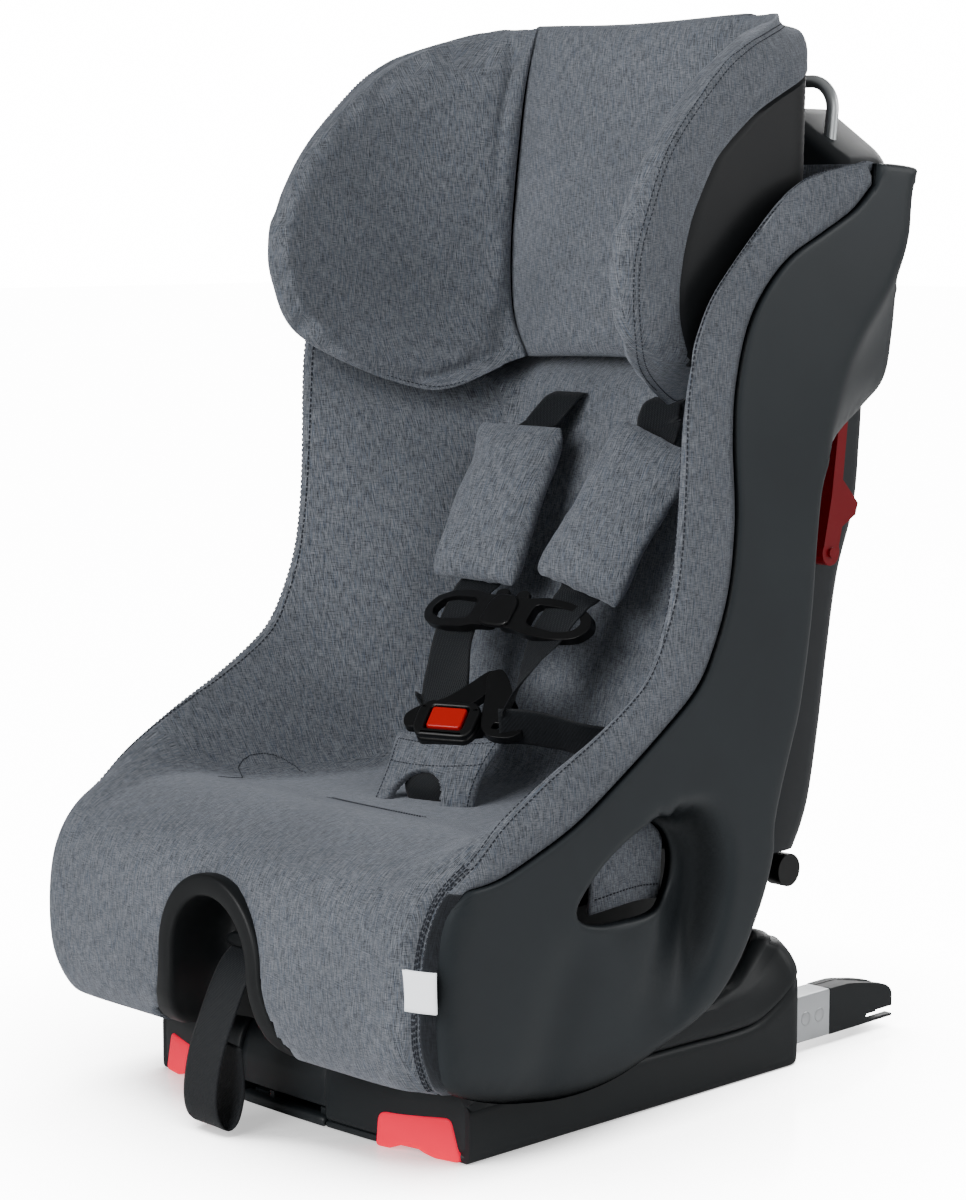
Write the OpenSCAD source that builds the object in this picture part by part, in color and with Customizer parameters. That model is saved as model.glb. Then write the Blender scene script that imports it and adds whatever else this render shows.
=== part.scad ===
// Convertible child car seat with rigid latch arms, a rocking recline base,
// a sliding headrest and a five-point harness.
// Millimetres. Origin on the floor, on the centre plane, mid-depth of the base.
// +Z is up, the child faces -Y, and +X is on the child's left.

/* [Base] */
// Width of the base across its side walls
base_w = 340; // [336:1:344]
// Depth of the base on the floor
base_d = 354; // [352:1:360]
// Thickness of moulded walls
wall = 5; // [4:0.5:5]
// Width of the open gap between the two front blocks
gap_w = 80; // [76:1:84]

/* [Recline] */
// Travel of the recline, in degrees
recline_travel = 12; // [6:1:12]
// Radius of the rail slots around the recline axis
slot_r = 540; // [539:0.5:541]
// Radius of the runner pins
pin_r = 5; // [4.5:0.1:5]

/* [Seat] */
// Overall width across the side shells
overall_w = 430; // [428:1:434]
// Height of the seat surface at its lowest
seat_z = 215; // [212:1:217]
// Half width of the flat seat surface
seat_half = 150; // [146:1:150]
// Thickness of the seat and back cushions
cushion_t = 22; // [18:1:22]
// Half width of the back casing
back_half = 150; // [148:1:150]

/* [Headrest] */
// Height of the headrest's top edge at its lowest setting
headrest_top = 806; // [802:1:810]
// Radius of the headrest tube
tube_r = 5; // [4.5:0.1:5]
// Distance of each tube leg from the centre plane
tube_x = 125; // [124:1:126]

/* [Latch] */
// Distance of each latch arm from the centre plane
latch_x = 140; // [139.5:0.5:140.5]
// How far the latch arms slide in and out
latch_travel = 100; // [60:10:100]
// Radius of the anchor bar seat in each connector
anchor_r = 3.05; // [3.02:0.01:3.1]

/* [Harness] */
// Width of the harness webbing
webbing_w = 38; // [34:1:38]
// Thickness of the harness webbing
webbing_t = 2; // [1.6:0.1:2.2]

/* [Hidden] */
$fn = 64;

fit = 0.05;             // running clearance round a shaft
gap = 0.2;              // clearance between sliding plates
base_front = -base_d / 2;
base_rear = base_d / 2;
base_half = base_w / 2;
gap_half = gap_w / 2;
front_top = 66;         // top of the two front blocks
tray_top = 40;          // parting line between tray and cover
screw_places = [[161, -120], [161, 100], [68, 150]];
screw_r = 2.5;
screw_head_r = 4.5;
screw_boss_r = 5;

// The recline axis lies above the seat, so the seat rocks on arcs around it
axis_y = -20;
axis_z = 600;
pan_r = 515;            // underside of the seat
rail_in_r = 524;        // upper edge of the rails
rail_out_r = 558;       // lower edge of the rails
runner_r = 552;         // lower edge of the runners
pin_angles = [0, 14.5]; // rest places of the pins, behind the axis
rail_x = 96;
rail_t = 4;
runner_x = 102;

shell_out = overall_w / 2;
shell_in = shell_out - 8;
bolster_out = shell_in - 2;
bolster_thin = bolster_out - 11;
cushion_z = 188;        // underside of the seat cushion
back_low = [57, 230];   // front of the back cushion at its foot
back_high = [154, 510]; // front of the back cushion at the shoulder slots
belt_y = [-100, -36];   // belt channel across the seat, front and rear
belt_z = 158;           // floor of the belt channel

tube_y = 260;           // crossbar of the headrest tube
tube_z = 755;
tube_lean = 7;          // the headrest slides along this lean
tube_leg = 215;
guide_low = -165;
guide_high = -62;

arm_w = 24;
arm_low = 8;
arm_high = 46;
arm_rear = 238;
arm_front = 60;
connector_rear = 316;
anchor_y = 283;
anchor_z = 14;
jaw_y = 270;
jaw_z = 31;

knee = [50, 368];       // harness bend in front of the chest
lap = [-22, 292];       // harness end at the buckle
torso = atan2(knee[0] - lap[0], knee[1] - lap[1]);
buckle_at = [0, -46, 270];
buckle_lean = 24;
lockoff_at = [203, 397];

// ---------- helpers ----------

// Extrudes a (y, z) outline along X
module extrude_x(x0, x1) {
    translate([x0, 0, 0]) rotate([90, 0, 90]) linear_extrude(x1 - x0) children();
}

// Extrudes an (x, z) outline along Y
module extrude_y(y0, y1) {
    translate([0, y1, 0]) rotate([90, 0, 0]) linear_extrude(y1 - y0) children();
}

module box(low, high) {
    translate(low) cube(high - low);
}

module rod_x(x0, x1, y, z, r) {
    translate([x0, y, z]) rotate([0, 90, 0]) cylinder(h = x1 - x0, r = r);
}

module both() {
    children();
    mirror([1, 0, 0]) children();
}

// A flat strap between two (y, z) points, leaning sideways from x0 to x1
module strap_run(from, to, x0, x1, w, t) {
    run = norm(to - from);
    lean = atan2(to[0] - from[0], to[1] - from[1]);
    translate([0, from[0], from[1]]) rotate([-lean, 0, 0]) rotate([90, 0, 0])
        translate([0, 0, -t / 2]) linear_extrude(t)
            polygon([[x0 - w / 2, 0], [x0 + w / 2, 0], [x1 + w / 2, run], [x1 - w / 2, run]]);
}

// A smooth curve through its control points
function blend(a, b, c, d, t) =
    0.5 * (2 * b + (c - a) * t + (2 * a - 5 * b + 4 * c - d) * t * t
    + (3 * b - a - 3 * c + d) * t * t * t);
function smooth(p, steps = 3) = [
    for (i = [0 : len(p) - 2]) for (k = [0 : steps - 1])
        blend(p[max(i - 1, 0)], p[i], p[i + 1], p[min(i + 2, len(p) - 1)], k / steps),
    p[len(p) - 1]
];

// Front of the back cushion at height z
function back_y(z) =
    back_low[0] + (z - back_low[1]) * (back_high[0] - back_low[0]) / (back_high[1] - back_low[1]);

// A point at radius r, turned a degrees behind the vertical below the recline axis
function rock(r, a) = [axis_y + r * sin(a), axis_z - r * cos(a)];

// Ring section around the recline axis, from a0 to a1 degrees behind the vertical
module rock_ring(r0, r1, a0, a1) {
    far = 2 * r1;
    intersection() {
        difference() {
            translate([axis_y, axis_z]) circle(r = r1, $fn = 180);
            translate([axis_y, axis_z]) circle(r = r0, $fn = 180);
        }
        polygon([[axis_y, axis_z], rock(far, a0), rock(far, a1)]);
    }
}

// ---------- base ----------

module foot_outline() {
    polygon([[78, 0], [100, 0], [104, 5], [134, 5], [138, 0], [152, 0], [165, 28], [78, 28]]);
}

module base_tray() {
        color([0.13, 0.15, 0.16]) difference() {
        union() {
            box([-base_half, base_front, 0], [base_half, base_rear, wall]);
            both() {
                extrude_x(base_half - wall, base_half)
                    polygon([[base_front, 0], [base_rear, 0], [base_rear + 7, 64],
                        [160, 50], [124, tray_top], [base_front, tray_top]]);
                box([gap_half, base_front, 0], [base_half, base_front + wall, tray_top]);
                box([gap_half, base_front + wall, 0], [gap_half + wall, -60, tray_top + 16]);
                for (p = screw_places) translate([p[0], p[1], 0]) cylinder(h = 38, r = screw_boss_r);
            }
            extrude_x(wall - base_half, base_half - wall)
                polygon([[base_rear - wall, 0], [base_rear, 0], [base_rear + 7, 64],
                    [base_rear + 2, 64], [base_rear - wall, tray_top]]);
            rod_x(-gap_half - wall, gap_half + wall, -100, 45, 4);
        }
        both() {
            extrude_y(base_front - 1, base_front + 38) foot_outline();
            box([latch_x - 16, base_rear - 12, 4.5], [latch_x + 16, base_rear + 12, 49.8]);
            for (p = screw_places) translate([p[0], p[1], -1]) {
                cylinder(h = 50, r = screw_r + fit);
                cylinder(h = 4, r = screw_head_r + fit);
            }
        }
    }
}

module base_cover() {
    rim = concat([[base_front, tray_top], [base_front, front_top], [10, front_top]],
        smooth([[10, front_top], [60, 92], [100, 116], [120, 120], [147, 117], [165, 104],
            [177, 82], [base_rear + 7, 64]]), [[160, 50], [124, tray_top]]);
    color([0.14, 0.16, 0.17]) difference() {
        union() {
            both() {
                extrude_x(base_half - wall, base_half) polygon(rim);
                intersection() {
                    extrude_x(base_half - 18, base_half) polygon(rim);
                    box([0, -20, front_top - 2], [base_half, 200, 130]);
                }
                box([112, base_front, front_top - 4], [base_half, 10, front_top]);
                box([gap_half, base_front, tray_top], [base_half, base_front + wall, front_top]);
            }
            extrude_x(-base_half, base_half)
                polygon([[176, 64], [base_rear + 7, 64], [177, 82], [165, 104], [156, 104],
                    [168, 80]]);
        }
        extrude_x(-base_half + 18, base_half - 18)
            translate([axis_y, axis_z]) circle(r = pan_r + 7, $fn = 180);
        both() box([latch_x - 16, base_rear - 30, 4.5], [latch_x + 16, base_rear + 12, 49.8]);
        both() box([runner_x - 8, base_front - 1, tray_top], [runner_x + 6, base_front + 12, 80]);
    }
}

module foot_right() {
    color([0.95, 0.22, 0.26]) extrude_y(base_front - 1, base_front + 37.8) intersection() {
        foot_outline();
        translate([78.1, 0]) square([86, 27.9]);
    }
}

module foot_left() {
    mirror([1, 0, 0]) foot_right();
}

// Two steel plates with a pair of arc slots each
module recline_rails() {
    color("silver") both() extrude_x(rail_x, rail_x + rail_t) difference() {
        union() {
            rock_ring(rail_in_r, rail_out_r, -15.5, 17);
            polygon([[-134, wall], [-118, wall], [-118, 66], [-134, 70]]);
            polygon([[106, wall], [142, wall], [142, 66], [106, 60]]);
        }
        for (a = pin_angles) {
            rock_ring(slot_r - pin_r - 0.15, slot_r + pin_r + 0.15, a - recline_travel, a);
            translate(rock(slot_r, a)) circle(r = pin_r + 0.15);
            translate(rock(slot_r, a - recline_travel)) circle(r = pin_r + 0.15);
        }
    }
}

// Rectangular tubes that hold the latch arms, slotted inside for their crossbar
module latch_guides() {
    half = arm_w / 2 + gap;
    color("dimgray") both() difference() {
        box([latch_x - half - 3, -70, wall], [latch_x + half + 3, 170, arm_high + gap + 3]);
        box([latch_x - half, -71, arm_low - gap], [latch_x + half, 171, arm_high + gap]);
        box([latch_x - half - 4, arm_front - latch_travel - 1, 9.5],
            [latch_x, arm_front + 17, 28.5]);
    }
}

// Aluminium honeycomb blocks that crush in a severe impact
module crush_cores() {
    color("lightgray") both() difference() {
        box([50, -135, wall], [90, -50, 30]);
        for (i = [0 : 2]) for (k = [0 : 6])
            translate([57 + 13 * i, -128 + 12 * k, wall - 1]) cylinder(h = 40, r = 5, $fn = 6);
    }
}

module base_screws() {
    color("gray") both() for (p = screw_places) translate([p[0], p[1], 0.2]) {
            cylinder(h = 2.7, r = screw_head_r);
            cylinder(h = 33, r = screw_r);
        }
}

// Pull bar at the front, with two rods back to the pawl
module recline_handle() {
    half = gap_half - 3;
    color([0.12, 0.13, 0.14]) difference() {
        union() {
            extrude_y(-194, -182) difference() {
                polygon([[-half, 13], [half, 13], [half, 40], [half - 7, 47], [7 - half, 47],
                    [-half, 40]]);
                translate([-18, 20]) square([36, 17]);
            }
            both() box([26, -183, 26], [31, -112, 34]);
            box([-31, -118, 26], [31, -112, 34]);
        }
    }
}

module recline_pawl() {
    color("silver") difference() {
        extrude_x(-8, 8) difference() {
            union() {
                translate([-100, 45]) circle(r = 9);
                polygon([[-104, 52], [-96, 40], [-62, 68], [-62, 76], [-70, 76]]);
                polygon([[-106, 42], [-98, 38], [-104, 30], [-109, 30]]);
            }
            translate([-100, 45]) circle(r = 4 + fit);
        }
    }
}

// ---------- latch ----------

// Both arms and their crossbar, welded into one frame
module latch_frame() {
    half = arm_w / 2;
    color("silver") difference() {
        union() {
            both() box([latch_x - half, arm_front, arm_low], [latch_x + half, arm_rear, arm_high]);
            box([-latch_x, arm_front, 10], [latch_x, arm_front + 15, 28]);
        }
        both() {
            box([latch_x - half + 3, arm_front + 18, arm_low + 3],
                [latch_x + half - 3, arm_rear + 1, arm_high - 3]);
            for (y = [209, 224]) rod_x(latch_x - 20, latch_x + 20, y, 27, 3 + fit);
        }
    }
}

module latch_rivets() {
    half = arm_w / 2;
    color("gainsboro") both() for (y = [209, 224]) {
        rod_x(latch_x - half, latch_x + half + 0.1, y, 27, 3);
    }
}

module latch_connector_right() {
    half = arm_w / 2;
    color([0.11, 0.12, 0.13]) difference() {
        extrude_x(latch_x - half, latch_x + half) difference() {
            polygon([[arm_rear, arm_low], [connector_rear, arm_low + 1], [connector_rear, 31],
                [292, 40], [262, arm_high], [arm_rear, arm_high]]);
            translate([anchor_y, anchor_z - anchor_r]) square([40, 2 * anchor_r]);
            translate([anchor_y, anchor_z]) circle(r = anchor_r);
        }
        box([latch_x - 4, 256, 0], [latch_x + 4, 310, 38.6]);
        box([latch_x - 4, 272, 30], [latch_x + 4, 310, 60]);
        box([latch_x - 7, 240, 39.2], [latch_x + 7, 268, 60]);
    }
}

module latch_connector_left() {
    mirror([1, 0, 0]) latch_connector_right();
}

module latch_jaw_right() {
    color("silver") extrude_x(latch_x - 3.5, latch_x + 3.5) {
        translate([jaw_y, jaw_z]) circle(r = 5);
        polygon([[jaw_y, 36], [jaw_y, 26], [286, 24], [287.5, 9], [293, 9], [297, 28], [290, 33]]);
    }
}

module latch_jaw_left() {
    mirror([1, 0, 0]) latch_jaw_right();
}

module latch_release_right() {
    color([0.85, 0.15, 0.15]) box([latch_x - 6.5, 250, 39.4], [latch_x + 6.5, 266, 45]);
}

module latch_release_left() {
    mirror([1, 0, 0]) latch_release_right();
}

// ---------- seat body ----------

module underbody_outline(inset) {
    intersection() {
        polygon([[-210 + inset, cushion_z - 1 - inset], [belt_y[0] - inset, cushion_z - 1 - inset],
            [belt_y[0] - inset, belt_z - inset], [belt_y[1] + inset, belt_z - inset],
            [belt_y[1] + inset, cushion_z - 1 - inset], [58 + inset, cushion_z - 1 - inset],
            [83 + inset, 232 - inset], [150 - inset, 232 - inset], [150 - inset, 60],
            [-210 + inset, 60]]);
        translate([axis_y, axis_z]) circle(r = pan_r - inset, $fn = 180);
    }
}

// Hollow housing under the cushion, with the recline rack moulded underneath
module seat_underbody() {
    half = seat_half - 2;
    color([0.12, 0.13, 0.14]) {
        difference() {
            extrude_x(-half, half) underbody_outline(0);
            extrude_x(wall - half, half - wall) underbody_outline(wall - 1);
        }
        extrude_x(-10, 10) difference() {
            rock_ring(pan_r - 3, pan_r + 5, -8, 12);
            for (a = [-6, 0, 6]) translate(rock(pan_r + 6, a)) circle(r = 6);
        }
    }
}

// Steel brackets under the seat with the pins that run in the rails
module runners() {
    color("silver") both() {
        extrude_x(runner_x, runner_x + rail_t) rock_ring(pan_r, runner_r, -3, 17.5);
        for (a = pin_angles) {
            p = rock(slot_r, a);
            rod_x(rail_x - 3, runner_x + rail_t + 2, p[0], p[1], pin_r);
        }
    }
}

shell_rear = [[206, 692], [243, 679], [243, 633], [199, 573], [161, 515], [148, 459], [137, 357],
    [116, 264], [97, 187], [57, 107], [-28, 61], [-130, 44], [-226, 73], [-239, 137],
    [-224, 204]];
shell_front = [[-189, 210], [-114, 238], [-26, 291], [29, 347], [49, 396], [48, 498], [60, 570],
    [100, 618], [180, 656], [203, 676]];
belt_hole = [[-104, 174], [-96, 190], [-72, 210], [-43, 216], [-24, 210], [-18, 189], [-27, 169],
    [-42, 160], [-73, 163]];

module side_shell_right() {
    color([0.2, 0.22, 0.23]) {
        extrude_x(shell_in, shell_out) difference() {
            polygon(concat(smooth(shell_rear), smooth(shell_front)));
            polygon(smooth(concat(belt_hole, [belt_hole[0]])));
        }
        translate([0, 0, 575]) linear_extrude(85)
            polygon([[shell_in, 190], [shell_out, 190], [shell_out, 232], [158, 300], [152, 300],
                [152, 294], [shell_in, 229]]);
    }
}

module side_shell_left() {
    mirror([1, 0, 0]) side_shell_right();
}

casing_rear = [[206, 165], [225, 206], [235, 256], [244, 313], [256, 376], [275, 428], [282, 515],
    [303, 532], [304, 600], [302, 690]];

// Rear casing, open to the front
module back_shell() {
    front_line = [[302, 700], [222, 700], [214, 520], [back_y(470) + 62, 470],
        [back_y(250) + 62, 250], [150, 236], [150, 165]];
    inner = concat([for (p = casing_rear) p - [4, 0]], [[298, 696], [210, 696], [202, 520],
        [back_y(470) + 50, 470], [back_y(250) + 50, 250], [140, 236], [140, 150], [200, 150]]);
    color([0.22, 0.24, 0.25]) difference() {
        union() {
            extrude_x(-back_half, back_half) polygon(concat(casing_rear, front_line));
            extrude_x(-100, 100)
                polygon([[302, 699], [300, 728], [292, 735], [276, 735], [268, 699]]);
            both() rod_x(back_half - 1, back_half + 7, lockoff_at[0], lockoff_at[1], 14);
        }
        extrude_x(wall - 1 - back_half, back_half - wall + 1) polygon(inner);
        both() {
            rod_x(back_half + 0.1, back_half + 8, lockoff_at[0], lockoff_at[1], 4 + fit);
            along_tube() translate([tube_x, 0, -80]) cylinder(h = 60, r = tube_r + 2);
        }
        box([-60, 200, 692], [60, 262, 701]);
    }
}

// Steel ladder frame behind the foam
module back_frame() {
    rear = 56;
    line = [[back_y(238) + 50, 238], [back_y(498) + 50, 498], [206, 500], [216, 690],
        [221, 690], [211, 496], [back_y(496) + rear, 494], [back_y(238) + rear, 238]];
    color("silver") difference() {
        union() {
            both() extrude_x(94, 112) polygon(line);
            intersection() {
                extrude_x(-100, 100) polygon(line);
                union() {
                    box([-100, 0, 238], [100, 300, 268]);
                    box([-100, 0, 360], [100, 300, 384]);
                    box([-100, 0, 440], [100, 300, 464]);
                    box([-100, 0, 660], [100, 300, 684]);
                }
            }
        }
    }
}

module back_foam() {
    color("gainsboro") extrude_x(-104, 104)
        polygon([[back_y(240) + 24, 240], [back_y(500) + 24, 500], [back_y(500) + 48, 500],
            [back_y(240) + 48, 240]]);
}

module along_tube() {
    translate([0, tube_y, tube_z]) rotate([-tube_lean, 0, 0]) children();
}

module headrest_guides() {
    color([0.12, 0.13, 0.14]) both() difference() {
        along_tube() box([tube_x - 10, -11, guide_low], [tube_x + 10, 11, guide_high]);
        along_tube() translate([tube_x, 0, guide_low - 1])
            cylinder(h = guide_high - guide_low + 2, r = tube_r + fit);
    }
}

// Tube across the foot of the back casing, with a cap on each end
module cross_tube() {
    color([0.1, 0.11, 0.12]) {
        rod_x(-128, 128, 197, 146, 10);
        both() rod_x(127, 142, 197, 146, 13);
    }
}

module arch(r) {
    translate([0, 126]) circle(r = r);
    translate([-r, 78]) square([2 * r, 48]);
}

// Smooth bowl in the front of the cushion, round the adjuster strap
module front_bezel() {
    color([0.08, 0.09, 0.1]) difference() {
        extrude_y(-266, -219) arch(61);
        extrude_y(-270, -223) arch(55);
        box([-22, -230, 125.5], [22, -210, 131]);
    }
}

module seat_cushion() {
    front = [[-218, 228], [-240, 213], [-256, 198], [-266, 165], [-268, 125], [-262, 90],
        [-246, 70], [-238, 70], [-240, 120], [-234, 165], [-218, cushion_z]];
    color([0.42, 0.44, 0.46]) difference() {
        union() {
            extrude_x(-seat_half, seat_half)
                polygon([[57, 230], [20, 220], [-100, seat_z], [-155, 232], [-219, 228],
                    [-219, cushion_z], [57, cushion_z]]);
            extrude_x(2 - bolster_out, bolster_out - 2) polygon(front);
        }
        extrude_y(-280, -217.5) arch(62);
        box([-21, -36, 150], [21, -24, 260]);
    }
}

module back_cushion() {
    color([0.42, 0.44, 0.46]) extrude_x(-104, 104)
        polygon([[back_y(236), 236], [back_y(500), 500], [back_y(500) + cushion_t, 500],
            [back_y(236) + cushion_t, 236]]);
}

ridge = [[-214, 214], [-168, 257], [-105, 290], [-62, 315], [-34, 336], [-10, 401], [-5, 484],
    [4, 568], [24, 600], [82, 656], [140, 683], [196, 692]];

// Side bolster, thick beside the hips and thin beside the headrest
module bolster_right() {
    rear = [[198, 676], [150, 560], [144, 512], [132, 420], [118, 330], [90, 236], [60, 236],
        [60, cushion_z], [-214, cushion_z]];
    color([0.42, 0.44, 0.46]) intersection() {
        extrude_x(0, bolster_out) polygon(concat(smooth(ridge), rear));
        union() {
            box([seat_half + 2, -220, cushion_z], [bolster_out, 60, 240]);
            hull() {
                translate([0, 0, 236]) linear_extrude(1)
                    polygon([[106, 60], [160, -214], [bolster_out, -214], [bolster_out, 90],
                        [106, 90]]);
                translate([0, 0, 511]) linear_extrude(1)
                    polygon([[106, 138], [bolster_thin, -10], [bolster_out, -10],
                        [bolster_out, 150], [106, 150]]);
            }
            box([bolster_thin, -20, 500], [bolster_out, 220, 700]);
        }
    }
}

module bolster_left() {
    mirror([1, 0, 0]) bolster_right();
}

// ---------- harness ----------

module harness_adjuster() {
    color("silver") box([-24, -236, 108], [24, -223.2, 125]);
}

module harness_release() {
    color([0.1, 0.11, 0.12]) translate([0, -229.5, 152]) rotate([90, 0, 0])
        cylinder(h = 11, r = 13);
}

module adjuster_strap() {
    t = webbing_t;
    color([0.1, 0.1, 0.11]) extrude_x(-webbing_w / 2, webbing_w / 2)
        polygon([[-218, 127], [-254, 127], [-268, 118], [-268, 4], [-268 - t, 4],
            [-268 - t, 119], [-255, 127 + t], [-218, 127 + t]]);
}

module splitter_plate() {
    color("silver") difference() {
        box([-66, 238, 484], [66, 241, 522]);
        box([-20, 230, 492], [20, 250, 498]);
    }
}

// Webbing from the shoulder slot to the buckle, and from the buckle to the hip
module harness_strap_right() {
    w = webbing_w;
    t = webbing_t;
    color([0.1, 0.1, 0.11]) {
        box([46 - w / 2, 142, 506], [46 + w / 2, 237.8, 506 + t]);
        strap_run([126, 484], [143, 507], 50, 46, w, t);
        strap_run(knee, [126, 484], 55, 50, w, t);
        strap_run(lap, knee, 34, 55, w, t);
        translate([0, -1, 0]) extrude_y(-23, -23 + t)
            polygon([[16, 270], [52, 270], [52, 296], [16, 296]]);
        translate([50, -24, 272]) rotate([0, 0, 56]) box([0, 0, -1], [74, t, 22]);
    }
}

module harness_strap_left() {
    mirror([1, 0, 0]) harness_strap_right();
}

module shoulder_pad_right() {
    from = [57, 379];
    to = [122.4, 478.6];
    color([0.4, 0.42, 0.44]) difference() {
        strap_run(from, to, 56, 52, 64, 14);
        strap_run(knee, [130.6, 491], 55, 49.7, webbing_w + 3, webbing_t + 2);
    }
}

module shoulder_pad_left() {
    mirror([1, 0, 0]) shoulder_pad_right();
}

module crotch_strap() {
    color([0.1, 0.1, 0.11])
        strap_run([-30, cushion_z + 0.5], [-38, 250], 0, 0, webbing_w, webbing_t);
}

module crotch_pad() {
    color([0.4, 0.42, 0.44]) difference() {
        strap_run([-44, 222], [-47, 246], 0, 0, 84, 26);
        strap_run([-30, cushion_z], [-39.6, 262], 0, 0, webbing_w + 3, webbing_t + 2);
    }
}

module at_buckle() {
    translate(buckle_at) rotate([-buckle_lean, 0, 0]) children();
}

module buckle_body() {
    color([0.07, 0.07, 0.08]) at_buckle() difference() {
        box([-29, -11, -20], [29, 11, 24]);
        box([-12.5, -20, -13], [12.5, -2, 12]);
    }
}

module buckle_button() {
    color([0.88, 0.12, 0.08]) at_buckle() box([-12, -13, -12.5], [12, -7, 11.5]);
}

module buckle_tongues() {
    color("dimgray") at_buckle() both() difference() {
        box([3, -5, 24.2], [44, -1, 42]);
        box([10, -8, 31], [38, 2, 36]);
    }
}

// Frame of the chest clip: z runs up the straps, -y faces out
module at_chest() {
    translate([0, 37.7, 355]) rotate([-torso, 0, 0]) children();
}

module chest_clip_right() {
    color([0.06, 0.06, 0.07]) at_chest() difference() {
        union() {
            box([0.5, -11, -13], [84, -3, 13]);
            box([79, -11, -13], [84, 7, 13]);
            box([22, 3, -4], [84, 7, 4]);
        }
        box([30, -12, -7], [70, -5, 7]);
        box([-14, -12, -9], [14.5, -5, 9]);
    }
}

module chest_clip_left() {
    mirror([1, 0, 0]) chest_clip_right();
}

module chest_clip_button() {
    color([0.1, 0.1, 0.11]) at_chest() box([-13, -12, -8], [13, -7.5, 8]);
}

// ---------- belt lock-off and tether ----------

module lockoff_right() {
    x0 = back_half + 8;
    color([0.8, 0.12, 0.14]) {
        extrude_x(x0, x0 + 16) {
            translate(lockoff_at) circle(r = 10);
            polygon([[194, 400], [203, 440], [211, 500], [216, 508], [222, 506], [216, 452],
                [235, 433], [232, 424], [216, 416], [212, 400]]);
        }
        rod_x(back_half + 0.3, x0 + 18, lockoff_at[0], lockoff_at[1], 4);
    }
}

module lockoff_left() {
    mirror([1, 0, 0]) lockoff_right();
}

module tether_strap() {
    color([0.1, 0.1, 0.11]) {
        box([-webbing_w / 2, 307, 428], [webbing_w / 2, 307 + webbing_t, 640]);
        box([-26, 304.5, 640], [26, 311, 662]);
    }
}

module tether_hook() {
    color("silver") extrude_x(-6, 6) {
        polygon([[300, 426], [312, 426], [312, 384], [306, 376], [292, 376], [288, 382],
            [288, 394], [293, 394], [293, 383], [304, 383], [304, 420], [300, 422]]);
    }
}

module tether_gate() {
    color("dimgray") extrude_x(-5, 5) {
        translate([301, 416]) circle(r = 2);
        polygon([[299, 415], [303, 416], [292.5, 397], [288.5, 397]]);
    }
}

// ---------- headrest ----------

module headrest_tube() {
    bend = 24;
    color("silver") along_tube() {
        both() {
            translate([tube_x, 0, -tube_leg]) cylinder(h = tube_leg - bend, r = tube_r);
            translate([tube_x - bend, 0, -bend]) rotate([90, 0, 0])
                rotate_extrude(angle = 90) translate([bend, 0]) circle(r = tube_r);
        }
        rotate([0, 90, 0]) translate([0, 0, bend - tube_x])
            cylinder(h = 2 * (tube_x - bend), r = tube_r);
    }
}

// Hard back of the headrest, with side wings and the clamp round the tube
module headrest_shell() {
    plate = 6;
    wing = 190;
    color([0.2, 0.22, 0.23]) difference() {
        union() {
            intersection() {
                translate([0, 0, 545]) linear_extrude(250) difference() {
                    polygon([[-wing, 5], [wing, 5], [wing, 140], [148, 190], [-148, 190],
                        [-wing, 140]]);
                    polygon([[plate - wing, 0], [wing - plate, 0], [wing - plate, 138],
                        [146, 184], [-146, 184], [plate - wing, 138]]);
                }
                extrude_x(-wing, wing)
                    polygon(concat(smooth([[30, 552], [10, 574], [9, 600], [26, 656], [60, 705],
                        [120, 743], [150, 760], [170, 794]]), [[192, 794], [192, 545]]));
            }
            box([-60, 189, 743], [60, 270, 767]);
        }
        rod_x(-61, 61, tube_y, tube_z, tube_r + fit);
        box([-15.2, 270.2 - 12, 738], [15.2, 271, 747]);
    }
}

module headrest_pad() {
    color([0.42, 0.44, 0.46]) extrude_x(-106, 106)
        polygon([[150, 538], [150, 620], [155, 720], [163, 796], [170, headrest_top - 4],
            [183.5, headrest_top - 8], [183.5, 538]]);
}

wing_front = [[130, 798], [98, 784], [46, 750], [-5, 700], [-32, 652], [-38, 618], [-31, 572],
    [-4, 545], [52, 522], [92, 516], [120, 524]];

module wing_pad_right() {
    color([0.42, 0.44, 0.46]) intersection() {
        extrude_x(100, 190)
            polygon(concat(smooth(wing_front), [[183, 532], [183, headrest_top], [150, headrest_top]]));
        translate([0, 0, 500]) linear_extrude(320)
            polygon([[108, 183], [108, 152], [150, 40], [170, -45], [183.5, -45], [183.5, 136],
                [146, 183]]);
    }
}

module wing_pad_left() {
    mirror([1, 0, 0]) wing_pad_right();
}

module headrest_release() {
    color([0.1, 0.11, 0.12]) box([-15, 258.5, 738.5], [15, 269.5, 742.8]);
}

base_tray();
base_cover();
foot_left();
foot_right();
recline_rails();
latch_guides();
crush_cores();
base_screws();
recline_handle();
recline_pawl();
latch_frame();
latch_connector_left();
latch_connector_right();
latch_rivets();
latch_jaw_left();
latch_jaw_right();
latch_release_left();
latch_release_right();
seat_underbody();
runners();
side_shell_left();
side_shell_right();
back_shell();
back_frame();
back_foam();
headrest_guides();
cross_tube();
front_bezel();
seat_cushion();
back_cushion();
bolster_left();
bolster_right();
harness_adjuster();
harness_release();
adjuster_strap();
splitter_plate();
harness_strap_left();
harness_strap_right();
shoulder_pad_left();
shoulder_pad_right();
crotch_strap();
crotch_pad();
buckle_body();
buckle_button();
buckle_tongues();
chest_clip_left();
chest_clip_right();
chest_clip_button();
lockoff_left();
lockoff_right();
tether_strap();
tether_hook();
tether_gate();
headrest_tube();
headrest_shell();
headrest_pad();
wing_pad_left();
wing_pad_right();
headrest_release();
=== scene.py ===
"""Convertible child car seat: the looks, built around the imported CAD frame."""
import math

import bmesh
import bpy
import numpy as np
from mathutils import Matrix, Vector
from mathutils.bvhtree import BVHTree
from mathutils.geometry import delaunay_2d_cdt


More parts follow.
